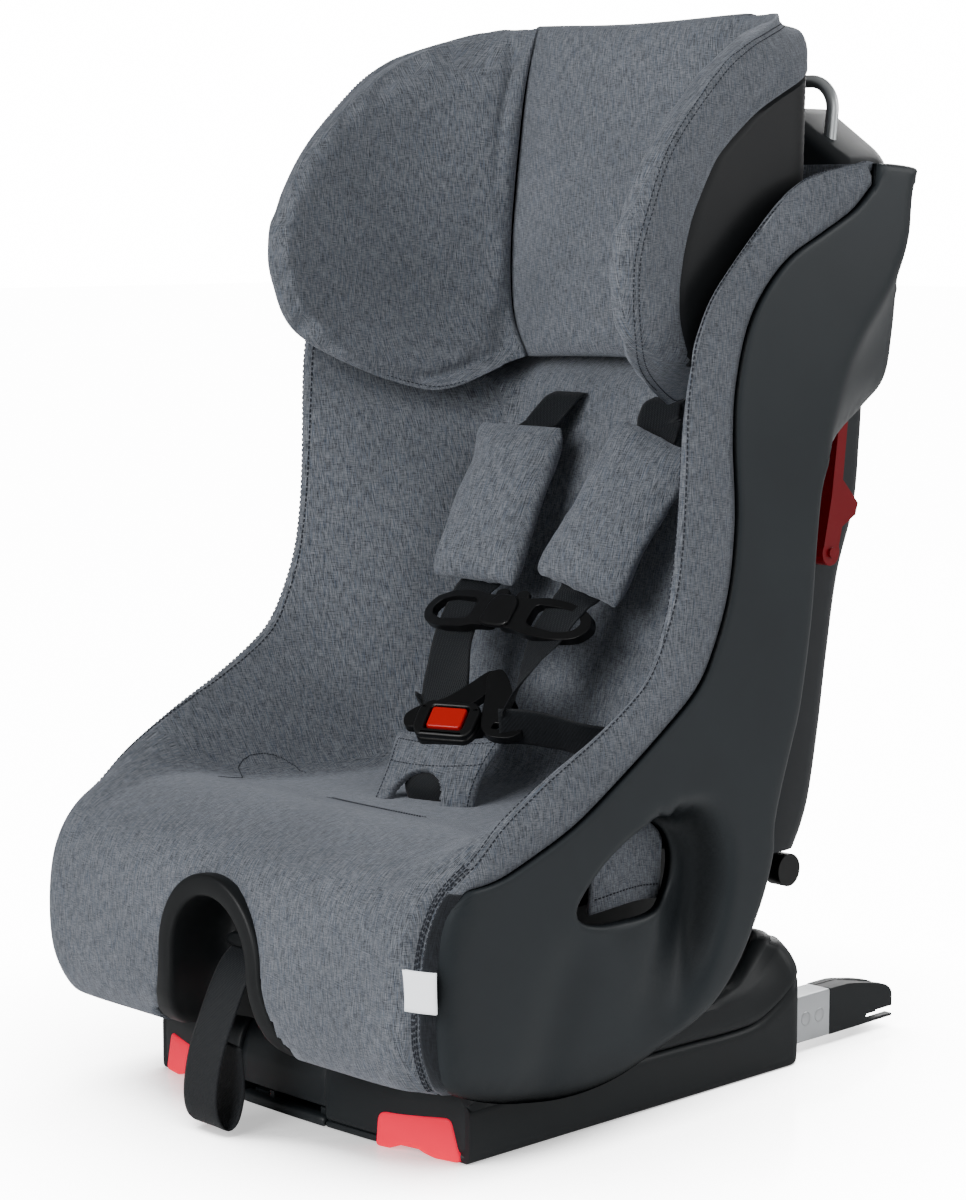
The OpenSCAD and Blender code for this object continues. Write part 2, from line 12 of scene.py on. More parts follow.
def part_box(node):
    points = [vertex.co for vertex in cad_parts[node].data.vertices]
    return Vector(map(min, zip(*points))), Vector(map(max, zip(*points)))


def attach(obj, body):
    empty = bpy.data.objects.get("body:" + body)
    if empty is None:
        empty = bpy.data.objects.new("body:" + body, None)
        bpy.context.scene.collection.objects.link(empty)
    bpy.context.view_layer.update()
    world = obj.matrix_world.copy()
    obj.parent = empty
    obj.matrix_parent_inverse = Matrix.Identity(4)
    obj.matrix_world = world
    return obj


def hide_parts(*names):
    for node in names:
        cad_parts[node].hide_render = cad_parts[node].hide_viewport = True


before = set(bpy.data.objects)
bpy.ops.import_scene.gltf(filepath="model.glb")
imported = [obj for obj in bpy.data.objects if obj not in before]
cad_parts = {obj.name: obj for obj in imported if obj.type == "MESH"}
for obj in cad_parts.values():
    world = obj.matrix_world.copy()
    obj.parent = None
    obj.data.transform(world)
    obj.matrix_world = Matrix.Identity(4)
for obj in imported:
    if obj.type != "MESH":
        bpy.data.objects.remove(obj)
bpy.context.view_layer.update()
MM = 0.001          # all shapes below are worked out in millimetres


def cad_high(node):
    """Highest corner of a CAD node, in millimetres."""
    return np.array(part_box(node)[1]) / MM


SHELL_X = cad_high("side_shell_right")[0]     # outer face of the side shells
BASE_X = cad_high("base_tray")[0]             # outer face of the base
BASE_REAR = 187.0                             # rear face of the base
BACK_X = 150.0                                # half width of the rear casing
SIDES = (("right", 1), ("left", -1))          # the child's sides, and their sign in X


# ---------------------------------------------------------------- curves

def smooth_curve(points, count):
    """Catmull-Rom curve through the control points, with count samples."""
    p = np.asarray(points, float)
    p = np.vstack([2 * p[0] - p[1], p, 2 * p[-1] - p[-2]])
    spans = len(p) - 3
    t = np.linspace(0, spans, count)
    i = np.minimum(t.astype(int), spans - 1)
    f = (t - i)[:, None]
    a, b, c, d = p[i], p[i + 1], p[i + 2], p[i + 3]
    return 0.5 * (2 * b + (c - a) * f + (2 * a - 5 * b + 4 * c - d) * f ** 2
                  + (3 * b - a - 3 * c + d) * f ** 3)


def even_curve(points, count, closed=False):
    """The same curve, with its samples evenly spaced along its length."""
    p = np.asarray(points, float)
    if closed:
        p = np.vstack([p[-2:], p, p[:3]])
        fine = smooth_curve(p, 60 * len(p))
        step = 60 * len(p) / (len(p) - 1)
        fine = fine[int(2 * step):int(round((len(p) - 3) * step))]
        fine = np.vstack([fine, fine[:1]])
    else:
        fine = smooth_curve(p, 40 * len(p))
    run = np.concatenate([[0], np.cumsum(np.linalg.norm(np.diff(fine, axis=0), axis=1))])
    s = np.linspace(0, run[-1], count + 1 if closed else count)
    out = np.stack([np.interp(s, run, fine[:, k]) for k in range(fine.shape[1])], 1)
    return out[:-1] if closed else out


def ease(t):
    """Smooth step from 0 to 1."""
    t = np.clip(t, 0, 1)
    return t * t * (3 - 2 * t)


def unit(v):
    """Vectors of length one."""
    v = np.asarray(v, float)
    n = np.linalg.norm(v, axis=-1, keepdims=True)
    return v / np.maximum(n, 1e-9)


def flip_x(verts):
    return np.asarray(verts) * np.array([-1, 1, 1])


# ---------------------------------------------------------------- meshes

def grid_faces(rows, cols, wrap=False):
    """Quads between neighbours of a grid; wrap joins the last column to the first."""
    return [(r * cols + c, r * cols + (c + 1) % cols, (r + 1) * cols + (c + 1) % cols, (r + 1) * cols + c)
            for r in range(rows - 1) for c in range(cols if wrap else cols - 1)]


def capped_faces(rows, cols):
    """Faces of a closed tube of rings, with its two ends."""
    last = (rows - 1) * cols
    ends = [tuple(range(cols - 1, -1, -1)), tuple(range(last, last + cols))]
    return grid_faces(rows, cols, True) + ends


def vertex_normals(verts, faces):
    """Normals at the points of a sheet, as its faces wind."""
    normals = np.zeros_like(verts)
    for size in {len(f) for f in faces}:
        f = np.array([g for g in faces if len(g) == size])
        a = verts[f[:, 0]]
        face_normal = np.zeros((len(f), 3))
        for k in range(1, size - 1):
            face_normal += np.cross(verts[f[:, k]] - a, verts[f[:, k + 1]] - a)
        for k in range(size):
            np.add.at(normals, f[:, k], face_normal)
    return unit(normals)


def thicken(verts, faces, depth, normals=None):
    """A closed solid from an open sheet, depth deep behind it."""
    verts = np.asarray(verts, float)
    if normals is None:
        normals = vertex_normals(verts, faces)
    depth = np.asarray(depth, float).reshape(-1, 1)
    count = len(verts)
    solid = list(faces) + [tuple(i + count for i in reversed(f)) for f in faces]
    edges = {(a, b) for f in faces for a, b in zip(f, f[1:] + f[:1])}
    for a, b in sorted(edges):
        if (b, a) not in edges:
            solid.append((b, a, a + count, b + count))
    return np.vstack([verts, verts - normals * depth]), solid


def piece(name, part, material, body, sharp=40.0, slot=None, node=None, edge=()):
    """A named mesh object riding on a CAD body; it stands for node, and edge is its bevel."""
    verts, faces = part
    mesh = bpy.data.meshes.new(name)
    mesh.from_pydata((np.asarray(verts, float) * MM).tolist(), [], [tuple(map(int, f)) for f in faces])
    bm = bmesh.new()
    bm.from_mesh(mesh)
    bmesh.ops.delete(bm, geom=[v for v in bm.verts if not v.link_faces], context="VERTS")
    bmesh.ops.recalc_face_normals(bm, faces=bm.faces)
    bm.to_mesh(mesh)
    bm.free()
    mesh.materials.append(material)
    mesh.shade_smooth()
    if sharp:
        mesh.set_sharp_from_angle(angle=math.radians(sharp))
    obj = bpy.data.objects.new(name, mesh)
    bpy.context.scene.collection.objects.link(obj)
    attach(obj, body)
    if edge:
        bevel(obj, *edge)
    if node:
        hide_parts(node)
    return obj


def coordinates(mesh):
    """Vertex positions of a mesh, in metres."""
    out = np.empty(len(mesh.vertices) * 3)
    mesh.vertices.foreach_get("co", out)
    return out.reshape(-1, 3)


def apply_modifiers(obj):
    """Gives the object the mesh that its modifiers make, and clears them."""
    graph = bpy.context.evaluated_depsgraph_get()
    mesh = bpy.data.meshes.new_from_object(obj.evaluated_get(graph))
    obj.modifiers.clear()
    obj.data = mesh
    return mesh


def join_parts(parts):
    """One vertex and face list from several."""
    verts, faces, start = [], [], 0
    for v, f in parts:
        verts.append(np.asarray(v, float))
        faces += [tuple(i + start for i in g) for g in f]
        start += len(v)
    return np.vstack(verts), faces


def bevel(obj, width, segments=3, angle=35.0, weld=False):
    if weld:
        obj.modifiers.new("weld", "WELD").merge_threshold = 1e-5
    m = obj.modifiers.new("bevel", "BEVEL")
    m.width = width * MM
    m.segments = segments
    m.limit_method = "ANGLE"
    m.angle_limit = math.radians(angle)
    m.harden_normals = True


def extrusion(outline, low, high, axis):
    """A prism on a closed outline. axis 0: outline is (y, z); 1: (x, z); 2: (x, y)."""
    p = np.asarray(outline, float)
    n = len(p)
    faces = [tuple(range(n)), tuple(range(2 * n - 1, n - 1, -1))]
    faces += [(i, i + n, (i + 1) % n + n, (i + 1) % n) for i in range(n)]
    return np.vstack([np.insert(p, axis, level, axis=1) for level in (low, high)]), faces


def box_part(low, high):
    (x0, y0, z0), (x1, y1, z1) = low, high
    return extrusion([(y0, z0), (y1, z0), (y1, z1), (y0, z1)], x0, x1, 0)


def rounded(points, radius, steps=5):
    """A closed outline with its corners rounded. radius is one number or one per corner."""
    p = np.asarray(points, float)
    radii = np.broadcast_to(radius, len(p))
    out = []
    for i in range(len(p)):
        a, b, c = p[i - 1], p[i], p[(i + 1) % len(p)]
        u, w = unit(a - b), unit(c - b)
        cut = min(radii[i], 0.45 * np.linalg.norm(a - b), 0.45 * np.linalg.norm(c - b))
        for t in np.linspace(0, 1, steps):
            q = (1 - t) ** 2 * (b + u * cut) + 2 * t * (1 - t) * b + t ** 2 * (b + w * cut)
            out.append(q)
    return np.array(out)


def tube_part(path, radius, sides=12):
    """A round rod along a path, with closed ends."""
    path = np.asarray(path, float)
    tangent = unit(np.gradient(path, axis=0))
    side = np.zeros_like(path)
    ref = np.array([1.0, 0, 0]) if abs(tangent[0][0]) < 0.9 else np.array([0, 1.0, 0])
    for i, t in enumerate(tangent):
        ref = unit(ref - t * (ref @ t))
        side[i] = ref
    up = np.cross(tangent, side)
    a = np.arange(sides) * 2 * math.pi / sides
    ring = np.cos(a)[None, :, None] * side[:, None] + np.sin(a)[None, :, None] * up[:, None]
    return (path[:, None] + ring * radius).reshape(-1, 3), capped_faces(len(path), sides)


def level_across(path, across):
    """Width and thickness directions of a strip along a path."""
    tangent = unit(np.gradient(path, axis=0))
    across = np.broadcast_to(np.asarray(across, float), path.shape)
    across = unit(across - tangent * np.sum(across * tangent, 1, keepdims=True))
    return across, np.cross(tangent, across)


def strap_part(path, across, width, thick):
    """Flat webbing: a rounded strip along a path. across is its width direction at each point."""
    across, up = level_across(path, across)
    cols = np.linspace(-1, 1, 15)
    top = [(c * width / 2, thick / 2 * (1 - c ** 8)) for c in cols]
    section = np.array(top + [(x, -z) for x, z in top[::-1][1:-1]])
    verts = path[:, None] + across[:, None] * section[None, :, :1] + up[:, None] * section[None, :, 1:]
    return verts.reshape(-1, 3), capped_faces(len(path), len(section))


def stitch_part(path, normals, pitch=3.6, length=2.5, radius=0.42, lift=0.25):
    """A row of thread stitches lying on a surface, along a path."""
    path = np.asarray(path, float)
    run = np.concatenate([[0], np.cumsum(np.linalg.norm(np.diff(path, axis=0), axis=1))])
    middles = np.arange(pitch / 2, run[-1], pitch)

    def at(s, rows):
        return np.stack([np.interp(s, run, rows[:, k]) for k in range(3)], -1)

    a, b = at(middles - length / 2, path), at(middles + length / 2, path)
    up = unit(at(middles, np.broadcast_to(np.asarray(normals, float), path.shape)))
    along = unit(b - a)
    side = np.cross(along, up)
    parts, sides = [], 5
    angles = np.arange(sides) * 2 * math.pi / sides
    for i in range(len(middles)):
        ring = np.cos(angles)[:, None] * side[i] + np.sin(angles)[:, None] * up[i] * 0.8
        core = []
        for t, r, h in ((0.0, 0.35, -0.3), (0.18, 0.95, 0.6), (0.82, 0.95, 0.6), (1.0, 0.35, -0.3)):
            centre = a[i] + (b[i] - a[i]) * t + up[i] * (lift * h)
            core.append(centre + ring * (radius * r))
        parts.append((np.vstack(core), capped_faces(4, sides)))
    return join_parts(parts)


def lathe_part(profile, centre, axis, sides=40):
    """A turned shape: profile is (radius, distance along axis)."""
    axis = unit(axis)
    ref = np.array([0, 0, 1.0]) if abs(axis[2]) < 0.9 else np.array([1.0, 0, 0])
    u = unit(np.cross(axis, ref))
    w = np.cross(axis, u)
    a = np.arange(sides) * 2 * math.pi / sides
    ring = np.cos(a)[:, None] * u + np.sin(a)[:, None] * w
    rows = [np.asarray(centre, float) + ring * r + axis * h for r, h in profile]
    return np.vstack(rows), capped_faces(len(rows), sides)


# ---------------------------------------------------------------- materials

class Nodes:
    """A short way to write a material's node tree."""

    def __init__(self, name):
        self.material = bpy.data.materials.new(name)
        self.material.use_nodes = True
        self.tree = self.material.node_tree
        self.tree.nodes.clear()
        self.out = self.add("ShaderNodeOutputMaterial")
        self.bsdf = self.add("ShaderNodeBsdfPrincipled")
        self.link(self.bsdf.outputs[0], self.out.inputs[0])
        self.coords = self.add("ShaderNodeTexCoord").outputs["Object"]

    def add(self, kind, **settings):
        node = self.tree.nodes.new(kind)
        for key, value in settings.items():
            setattr(node, key, value)
        return node

    def link(self, source, target):
        self.tree.links.new(source, target)

    def put(self, target, value):
        if isinstance(value, bpy.types.NodeSocket):
            self.link(value, target)
        elif isinstance(value, tuple) and len(value) == 3 and target.type == "RGBA":
            target.default_value = (*value, 1.0)
        else:
            target.default_value = value

    def set(self, **inputs):
        for key, value in inputs.items():
            self.put(self.bsdf.inputs[key.replace("_", " ")], value)

    def scaled(self, source, scale):
        node = self.add("ShaderNodeMapping")
        self.put(node.inputs["Vector"], source)
        node.inputs["Scale"].default_value = scale
        return node.outputs[0]

    def noise(self, vector, scale=1.0, detail=2.0, rough=0.5, distort=0.0):
        node = self.add("ShaderNodeTexNoise")
        self.put(node.inputs["Vector"], vector)
        for key, value in (("Scale", scale), ("Detail", detail), ("Roughness", rough),
                           ("Distortion", distort)):
            node.inputs[key].default_value = value
        return node.outputs["Fac"]

    def math(self, op, a, b=0.0):
        node = self.add("ShaderNodeMath", operation=op)
        self.put(node.inputs[0], a)
        self.put(node.inputs[1], b)
        return node.outputs[0]

    def plus(self, a, b):
        return self.math("ADD", a, b)

    def minus(self, a, b):
        return self.math("SUBTRACT", a, b)

    def times(self, a, b):
        return self.math("MULTIPLY", a, b)

    def size(self, a):
        return self.math("ABSOLUTE", a)

    def mix(self, fac, a, b):
        node = self.add("ShaderNodeMix", data_type="RGBA")
        self.put(node.inputs[0], fac)
        self.put(node.inputs[6], a)
        self.put(node.inputs[7], b)
        return node.outputs[2]

    def ramp(self, fac, low, high, a=0.0, b=1.0):
        node = self.add("ShaderNodeMapRange")
        self.put(node.inputs[0], fac)
        for i, value in enumerate((low, high, a, b)):
            self.put(node.inputs[i + 1], value)
        return node.outputs[0]

    def bump(self, height, strength, distance):
        node = self.add("ShaderNodeBump")
        node.inputs["Strength"].default_value = strength
        node.inputs["Distance"].default_value = distance
        self.put(node.inputs["Height"], height)
        self.put(self.bsdf.inputs["Normal"], node.outputs[0])

    def facing(self):
        """How far the surface faces sideways (X) and upwards (Z), each 0 to 1."""
        geometry = self.add("ShaderNodeNewGeometry")
        split = self.add("ShaderNodeSeparateXYZ")
        to_object = self.add("ShaderNodeVectorTransform", vector_type="NORMAL",
                             convert_from="WORLD", convert_to="OBJECT")
        self.link(geometry.outputs["Normal"], to_object.inputs[0])
        self.link(to_object.outputs[0], split.inputs[0])
        return (self.ramp(self.size(split.outputs[0]), 0.70, 0.715),
                self.ramp(self.size(split.outputs[2]), 0.74, 0.755))

    def cloth_plane(self):
        """Two coordinates across the cloth, in metres, whichever way it faces."""
        split = self.add("ShaderNodeSeparateXYZ")
        self.link(self.coords, split.inputs[0])
        x, y, z = split.outputs
        side, up = self.facing()
        across, along = self.mix_value(side, x, y), self.mix_value(up, z, y)
        return self.pair(across, along), across, along

    def pair(self, a, b):
        both = self.add("ShaderNodeCombineXYZ")
        self.put(both.inputs[0], a)
        self.put(both.inputs[1], b)
        return both.outputs[0]

    def threads(self, across, along, rate, length):
        """Coordinates for long thin streaks: every thread gets its own start."""
        fine = self.times(across, rate)
        start = self.times(fine, 0.47)
        return self.pair(fine, self.plus(self.times(along, length), start))

    def wave(self, value, pitch):
        return self.math("SINE", self.times(value, 2 * math.pi / pitch))

    def mix_value(self, fac, a, b):
        node = self.add("ShaderNodeMix", data_type="FLOAT")
        self.put(node.inputs[0], fac)
        self.put(node.inputs[2], a)
        self.put(node.inputs[3], b)
        return node.outputs[0]


THREAD_PITCH = 0.0011       # metres from thread to thread


def fabric_material(name, dark, light, blue):
    """Heathered woven fabric: slubs both ways over a fine plain weave."""
    m = Nodes(name)
    plane, across, along = m.cloth_plane()
    warp = m.noise(m.threads(across, along, 2500, 118), 1.0, 2.0, 0.5)
    weft = m.noise(m.threads(along, across, 2400, 170), 1.0, 2.0, 0.5)
    grain = m.noise(m.scaled(plane, (900, 900, 1)), 1.0, 2.0, 0.6)
    clouds = m.noise(m.coords, 14.0, 3.0, 0.5)
    melange = m.plus(m.plus(m.times(warp, 0.53), m.times(weft, 0.36)), m.times(grain, 0.11))
    base = m.mix(m.ramp(melange, 0.40, 0.60), dark, light)
    dyed = m.noise(m.threads(across, along, 1900, 80), 1.0, 2.0)
    tinted = m.mix(m.ramp(dyed, 0.52, 0.8), base, blue)
    shaded = m.mix(m.ramp(clouds, 0.3, 0.75, 0.0, 0.22), tinted, dark)
    m.set(Base_Color=shaded, Roughness=0.88, Specular_IOR_Level=0.25,
          Sheen_Weight=0.35, Sheen_Roughness=0.45)
    m.put(m.bsdf.inputs["Sheen Tint"], (0.75, 0.8, 0.9))
    weave = m.times(m.wave(across, THREAD_PITCH), m.wave(along, THREAD_PITCH))
    height = m.plus(m.times(weave, 0.25), melange)
    m.bump(height, 0.55, 0.0006)
    return m.material


def webbing_material(name, colour, edge):
    """Woven strap: fine ribs along it and a herringbone sheen."""
    m = Nodes(name)
    plane, across, along = m.cloth_plane()
    ribs = m.wave(m.plus(across, along), 0.0016)
    cross = m.wave(m.minus(across, along), 0.0024)
    weave = m.plus(m.times(ribs, 0.6), m.times(cross, 0.4))
    fuzz = m.noise(m.scaled(plane, (700, 260, 1)), 1.0, 2.0)
    m.set(Base_Color=m.mix(m.times(m.ramp(weave, -1.0, 1.0), fuzz), colour, edge),
          Roughness=m.ramp(fuzz, 0.3, 0.7, 0.5, 0.7), Specular_IOR_Level=0.35,
          Sheen_Weight=0.04)
    m.bump(m.plus(weave, fuzz), 0.5, 0.0004)
    return m.material


def plastic_material(name, colour, rough, grain, spec, tint=None, glow=0.0, hollows=0.0):
    """Moulded plastic: spark-eroded grain, faint flow marks, lighter worn patches.

    glow is painted light: the plastic shines a little from inside though it is no lamp; hollows is painted
    shade: it darkens the plastic and dims its gloss where other surfaces lie within that many metres, as in
    its hollows."""
    m = Nodes(name)
    fine = m.noise(m.coords, 1600.0, 2.0, 0.6)
    broad = m.noise(m.coords, 9.0, 4.0, 0.6, 0.4)
    tint = tint or tuple(min(1.0, c * 1.25 + 0.004) for c in colour)
    shade = m.mix(m.ramp(broad, 0.35, 0.75, 0.0, 0.6), colour, tint)
    if hollows:
        # painted shade: ambient occlusion darkens the hollows towards near black and takes away their gloss
        near = m.add("ShaderNodeAmbientOcclusion")
        near.samples = 8
        near.inputs["Distance"].default_value = hollows
        clear_of_painted_shade = m.ramp(near.outputs["AO"], 0.66, 0.96)
        shade = m.mix(clear_of_painted_shade, (0.0012, 0.0015, 0.0018), shade)
        spec = m.times(clear_of_painted_shade, spec)
    m.set(Base_Color=shade,
          Roughness=m.plus(rough, m.times(m.minus(broad, 0.5), 0.16)),
          Specular_IOR_Level=spec, Emission_Color=(*tint, 1.0), Emission_Strength=glow)
    m.bump(fine, grain, 0.0003)
    return m.material


def metal_material(name, colour, rough=0.35, brush=(40, 900, 40)):
    """Plated or brushed metal with directional scratches and cloudy roughness."""
    m = Nodes(name)
    scratches = m.noise(m.scaled(m.coords, brush), 1.0, 3.0, 0.65)
    cloud = m.noise(m.coords, 18.0, 3.0)
    m.set(Base_Color=m.mix(m.ramp(cloud, 0.35, 0.7, 0.0, 0.3), colour, tuple(0.8 * c for c in colour)),
          Metallic=1.0,
          Roughness=m.plus(rough, m.times(m.minus(scratches, 0.5), 0.25)))
    m.bump(scratches, 0.15, 0.0002)
    return m.material


def thread_material(name, colour):
    """Twisted sewing thread."""
    m = Nodes(name)
    twist = m.noise(m.coords, 2200.0, 1.0)
    m.set(Base_Color=m.mix(twist, colour, tuple(1.6 * c for c in colour)), Roughness=0.8)
    m.bump(twist, 0.3, 0.0002)
    return m.material


def foam_material(name, colour):
    """Moulded bead foam: visible rounded cells."""
    m = Nodes(name)
    cells = m.add("ShaderNodeTexVoronoi", feature="DISTANCE_TO_EDGE")
    m.put(cells.inputs["Vector"], m.coords)
    cells.inputs["Scale"].default_value = 260.0
    gap = m.ramp(cells.outputs["Distance"], 0.0, 0.12)
    m.set(Base_Color=m.mix(gap, tuple(0.6 * c for c in colour), colour), Roughness=0.75)
    m.bump(gap, 0.4, 0.0006)
    return m.material


FABRIC = fabric_material("heather_fabric", (0.019, 0.023, 0.029), (0.252, 0.268, 0.298),
                         (0.072, 0.105, 0.160))
MESH_FABRIC = fabric_material("gusset_fabric", (0.003, 0.0035, 0.0045), (0.020, 0.023, 0.028),
                              (0.010, 0.013, 0.018))
WEBBING = webbing_material("strap_webbing", (0.0018, 0.0024, 0.0034), (0.015, 0.020, 0.027))
# the shell plastic gets painted shade in its hollows: its recesses and the edges of the belt opening are
# darkened
SHELL = plastic_material("shell_plastic", (0.0148, 0.0198, 0.0238), 0.45, 0.08, 0.36, hollows=0.08)
CASING = plastic_material("casing_plastic", (0.0140, 0.0168, 0.0200), 0.46, 0.10, 0.36)
BASE = plastic_material("base_plastic", (0.0080, 0.0105, 0.0125), 0.5, 0.10, 0.36)
BEZEL = plastic_material("bezel_plastic", (0.0038, 0.0048, 0.0056), 0.46, 0.05, 0.28)
BUCKLE = plastic_material("buckle_plastic", (0.0018, 0.002, 0.0024), 0.34, 0.06, 0.34)
HEAD_PLATE = plastic_material("headrest_plastic", (0.0075, 0.0085, 0.010), 0.55, 0.10, 0.3)
# the red feet glow a little though they are no lamp: painted light
RED = plastic_material("red_plastic", (1.0, 0.0, 0.045), 0.45, 0.05, 0.2, (1.0, 0.0, 0.045), 0.36)
LEVER_RED = plastic_material("lever_red_plastic", (0.22, 0.0012, 0.006), 0.36, 0.05, 0.33,
                             (0.25, 0.0016, 0.008))
BUTTON_RED = plastic_material("button_red_plastic", (0.46, 0.003, 0.001), 0.3, 0.03, 0.35,
                              (0.5, 0.005, 0.002))
# the blank tag glows though it is no lamp: painted light
LABEL = plastic_material("blank_tag", (0.92, 0.95, 1.0), 0.6, 0.1, 0.2, (0.95, 0.97, 1.0), 0.9)
STEEL = metal_material("plated_steel", (0.62, 0.64, 0.66), 0.34)
TUBE = metal_material("satin_tube", (0.66, 0.69, 0.70), 0.42, (60, 60, 900))
DARK_STEEL = metal_material("dark_steel", (0.30, 0.31, 0.33), 0.4)
THREAD = thread_material("dark_thread", (0.008, 0.010, 0.016))
FOAM = foam_material("bead_foam", (0.02, 0.021, 0.023))


# ---------------------------------------------------------------- outlines

def inside_outline(points, outline):
    """Which (x, y) points lie inside a closed outline."""
    x, y = points[:, 0], points[:, 1]
    hit = np.zeros(len(points), bool)
    for (ax, ay), (bx, by) in zip(outline, np.roll(outline, -1, axis=0)):
        crosses = (ay > y) != (by > y)
        with np.errstate(divide="ignore", invalid="ignore"):
            at = ax + (y - ay) * (bx - ax) / (by - ay)
        hit ^= crosses & (x < at)
    return hit


def distance_to(points, line, closed=False):
    """Shortest distance from each point to a polyline."""
    line = np.asarray(line, float)
    if closed:
        line = np.vstack([line, line[:1]])
    best = np.full(len(points), 1e9)
    for a, b in zip(line[:-1], line[1:]):
        d = b - a
        t = np.clip(((points - a) @ d) / max(d @ d, 1e-9), 0, 1)
        best = np.minimum(best, np.linalg.norm(points - a - t[:, None] * d, axis=1))
    return best


def between(points, loops):
    """Which points lie inside the first loop and outside the others."""
    hit = inside_outline(points, loops[0])
    for loop in loops[1:]:
        hit &= ~inside_outline(points, loop)
    return hit


def triangulate(loops, inner=(), tolerance=1e-5):
    """Points and triangles inside the first loop and outside the others."""
    points = np.vstack(loops + list(inner))
    edges, start = [], 0
    for loop in loops:
        n = len(loop)
        edges += [(start + i, start + (i + 1) % n) for i in range(n)]
        start += n
    result = delaunay_2d_cdt([Vector(p) for p in points], edges, [], 0, tolerance)
    verts = np.array([tuple(v) for v in result[0]])
    faces = [tuple(f) for f in result[2]]
    keep = between(np.array([verts[list(f)].mean(0) for f in faces]), loops)
    return verts, [f for f, k in zip(faces, keep) if k]


def outward(normals, faces, wrong):
    """Turns a sheet over when wrong says that its normals point inwards."""
    return (-normals, [f[::-1] for f in faces]) if wrong else (normals, faces)


# ---------------------------------------------------------------- seat cover

# Stations from under the front edge, over the seat and up the back.
# Each curve has one point per station: (y, z) on the centre line, (x, y, z) on the
# ridge seam of the bolster and on the edge where the cover meets the side shell.
CENTRE = [(-237, 67), (-254, 74), (-266, 104), (-267, 150), (-259, 190), (-236, 214),
          (-196, 227), (-155, 228), (-100, 217), (-40, 213), (12, 214), (44, 221), (60, 243),
          (78, 290), (101, 357), (130, 440), (153, 505), (164, 525), (197, 552), (205, 620),
          (211, 672), (213, 690)]
RIDGE = [(194, -230, 67), (197, -242, 77), (199, -253, 105), (199, -253, 140), (199, -248, 174),
         (201, -234, 203), (205, -206, 225), (205, -180, 248), (205, -138, 274), (205, -92, 297),
         (205, -54, 320), (205, -36, 338), (205, -21, 368), (205, -12, 396), (205, -7, 436),
         (205, -5, 484), (205, -4, 516), (206, -1, 545), (206, 5, 570), (206, 32, 609),
         (205, 110, 673), (204, 196, 692)]
EDGE = [(205, -221, 70), (207, -234, 80), (208, -243, 105), (208, -243, 140), (208, -238, 174),
        (209, -224, 203), (209, -196, 211), (209, -168, 221), (209, -122, 238), (209, -73, 264),
        (209, -28, 292), (209, -5, 309), (209, 14, 328), (209, 32, 354), (209, 44, 390),
        (209, 50, 440), (209, 47, 488), (209, 50, 530), (209, 60, 570), (209, 88, 610),
        (209, 148, 645), (208, 201, 678)]
FLAT = [150, 150, 150, 152, 152, 152, 150, 148, 146, 142, 134, 126, 118, 112, 108, 106, 108,
        116, 150, 172, 176, 178]
STEEP = [0.5, 0.5, 0.5, 0.5, 0.5, 0.45, 0.4, 0.35, 0.3, 0.25, 0.2, 0.15, 0.1, 0.0, 0.0, 0.0,
         0.05, 0.2, 0.85, 1.0, 1.0, 1.0]
SHELL_REAR = [(204, 690), (222, 690), (246, 688), (276, 683), (296, 674), (303, 655), (303, 630), (301, 600),
              (297, 556), (286, 526), (258, 506), (216, 492), (170, 478), (150, 462), (143, 420),
              (137, 357), (126, 295), (116, 264), (106, 236), (98, 208), (97, 187), (90, 164),
              (79, 141), (57, 107), (25, 80), (-28, 61), (-80, 47), (-130, 44), (-184, 53),
              (-229, 70), (-244, 90), (-248, 120), (-246, 160), (-240, 188), (-230, 203)]
SHELL_FRONT = [(-218, 207), (-189, 210), (-157, 220), (-114, 237), (-71, 262), (-26, 291), (10, 318),
               (29, 347), (44, 386), (50, 436), (47, 490), (49, 530), (60, 570), (78, 598),
               (106, 622), (142, 639), (178, 656), (201, 674)]
BELT_HOLE = [(-115, 176), (-103, 192), (-80, 210), (-52, 223), (-24, 225), (-2, 214), (5, 194),
             (-4, 174), (-30, 162), (-76, 161), (-105, 166)]
CREASE = [(254, 700), (246, 665), (242, 633), (222, 598), (199, 573), (176, 547), (161, 515),
          (152, 482), (143, 440)]
RECESS = [(-91, 203), (-66, 219), (-38, 231), (-6, 236), (22, 228), (38, 208), (42, 182), (36, 148),
          (22, 114), (2, 84), (-20, 60)]
WRAP_X = 155.0
WRAP_REAR = [(143, 430), (150, 462), (170, 478), (216, 492), (262, 506), (293, 524), (301, 560),
             (304, 600), (304, 640), (303, 668), (302, 700)]
ARCH_R, ARCH_Z, ARCH_FOOT = 57.0, 130.0, 78.0     # opening round the strap adjuster
SNAP = 3.4                                        # cover points this near its edge move onto it


def arch_outline(radius, count=64, flare=0.0):
    """Round-topped outline in (x, z), open at its foot, where it spreads by flare."""
    a = np.linspace(0, math.pi, count - 24)
    top = np.stack([radius * 0.93 * np.cos(a), ARCH_Z + radius * 1.05 * np.sin(a)], 1)
    drop = np.linspace(0, 1, 13)[1:]
    side = np.stack([-radius * 0.93 - flare * drop ** 1.7, ARCH_Z + (ARCH_FOOT - ARCH_Z) * drop], 1)
    return np.vstack([side[::-1] * (-1, 1), top, side])


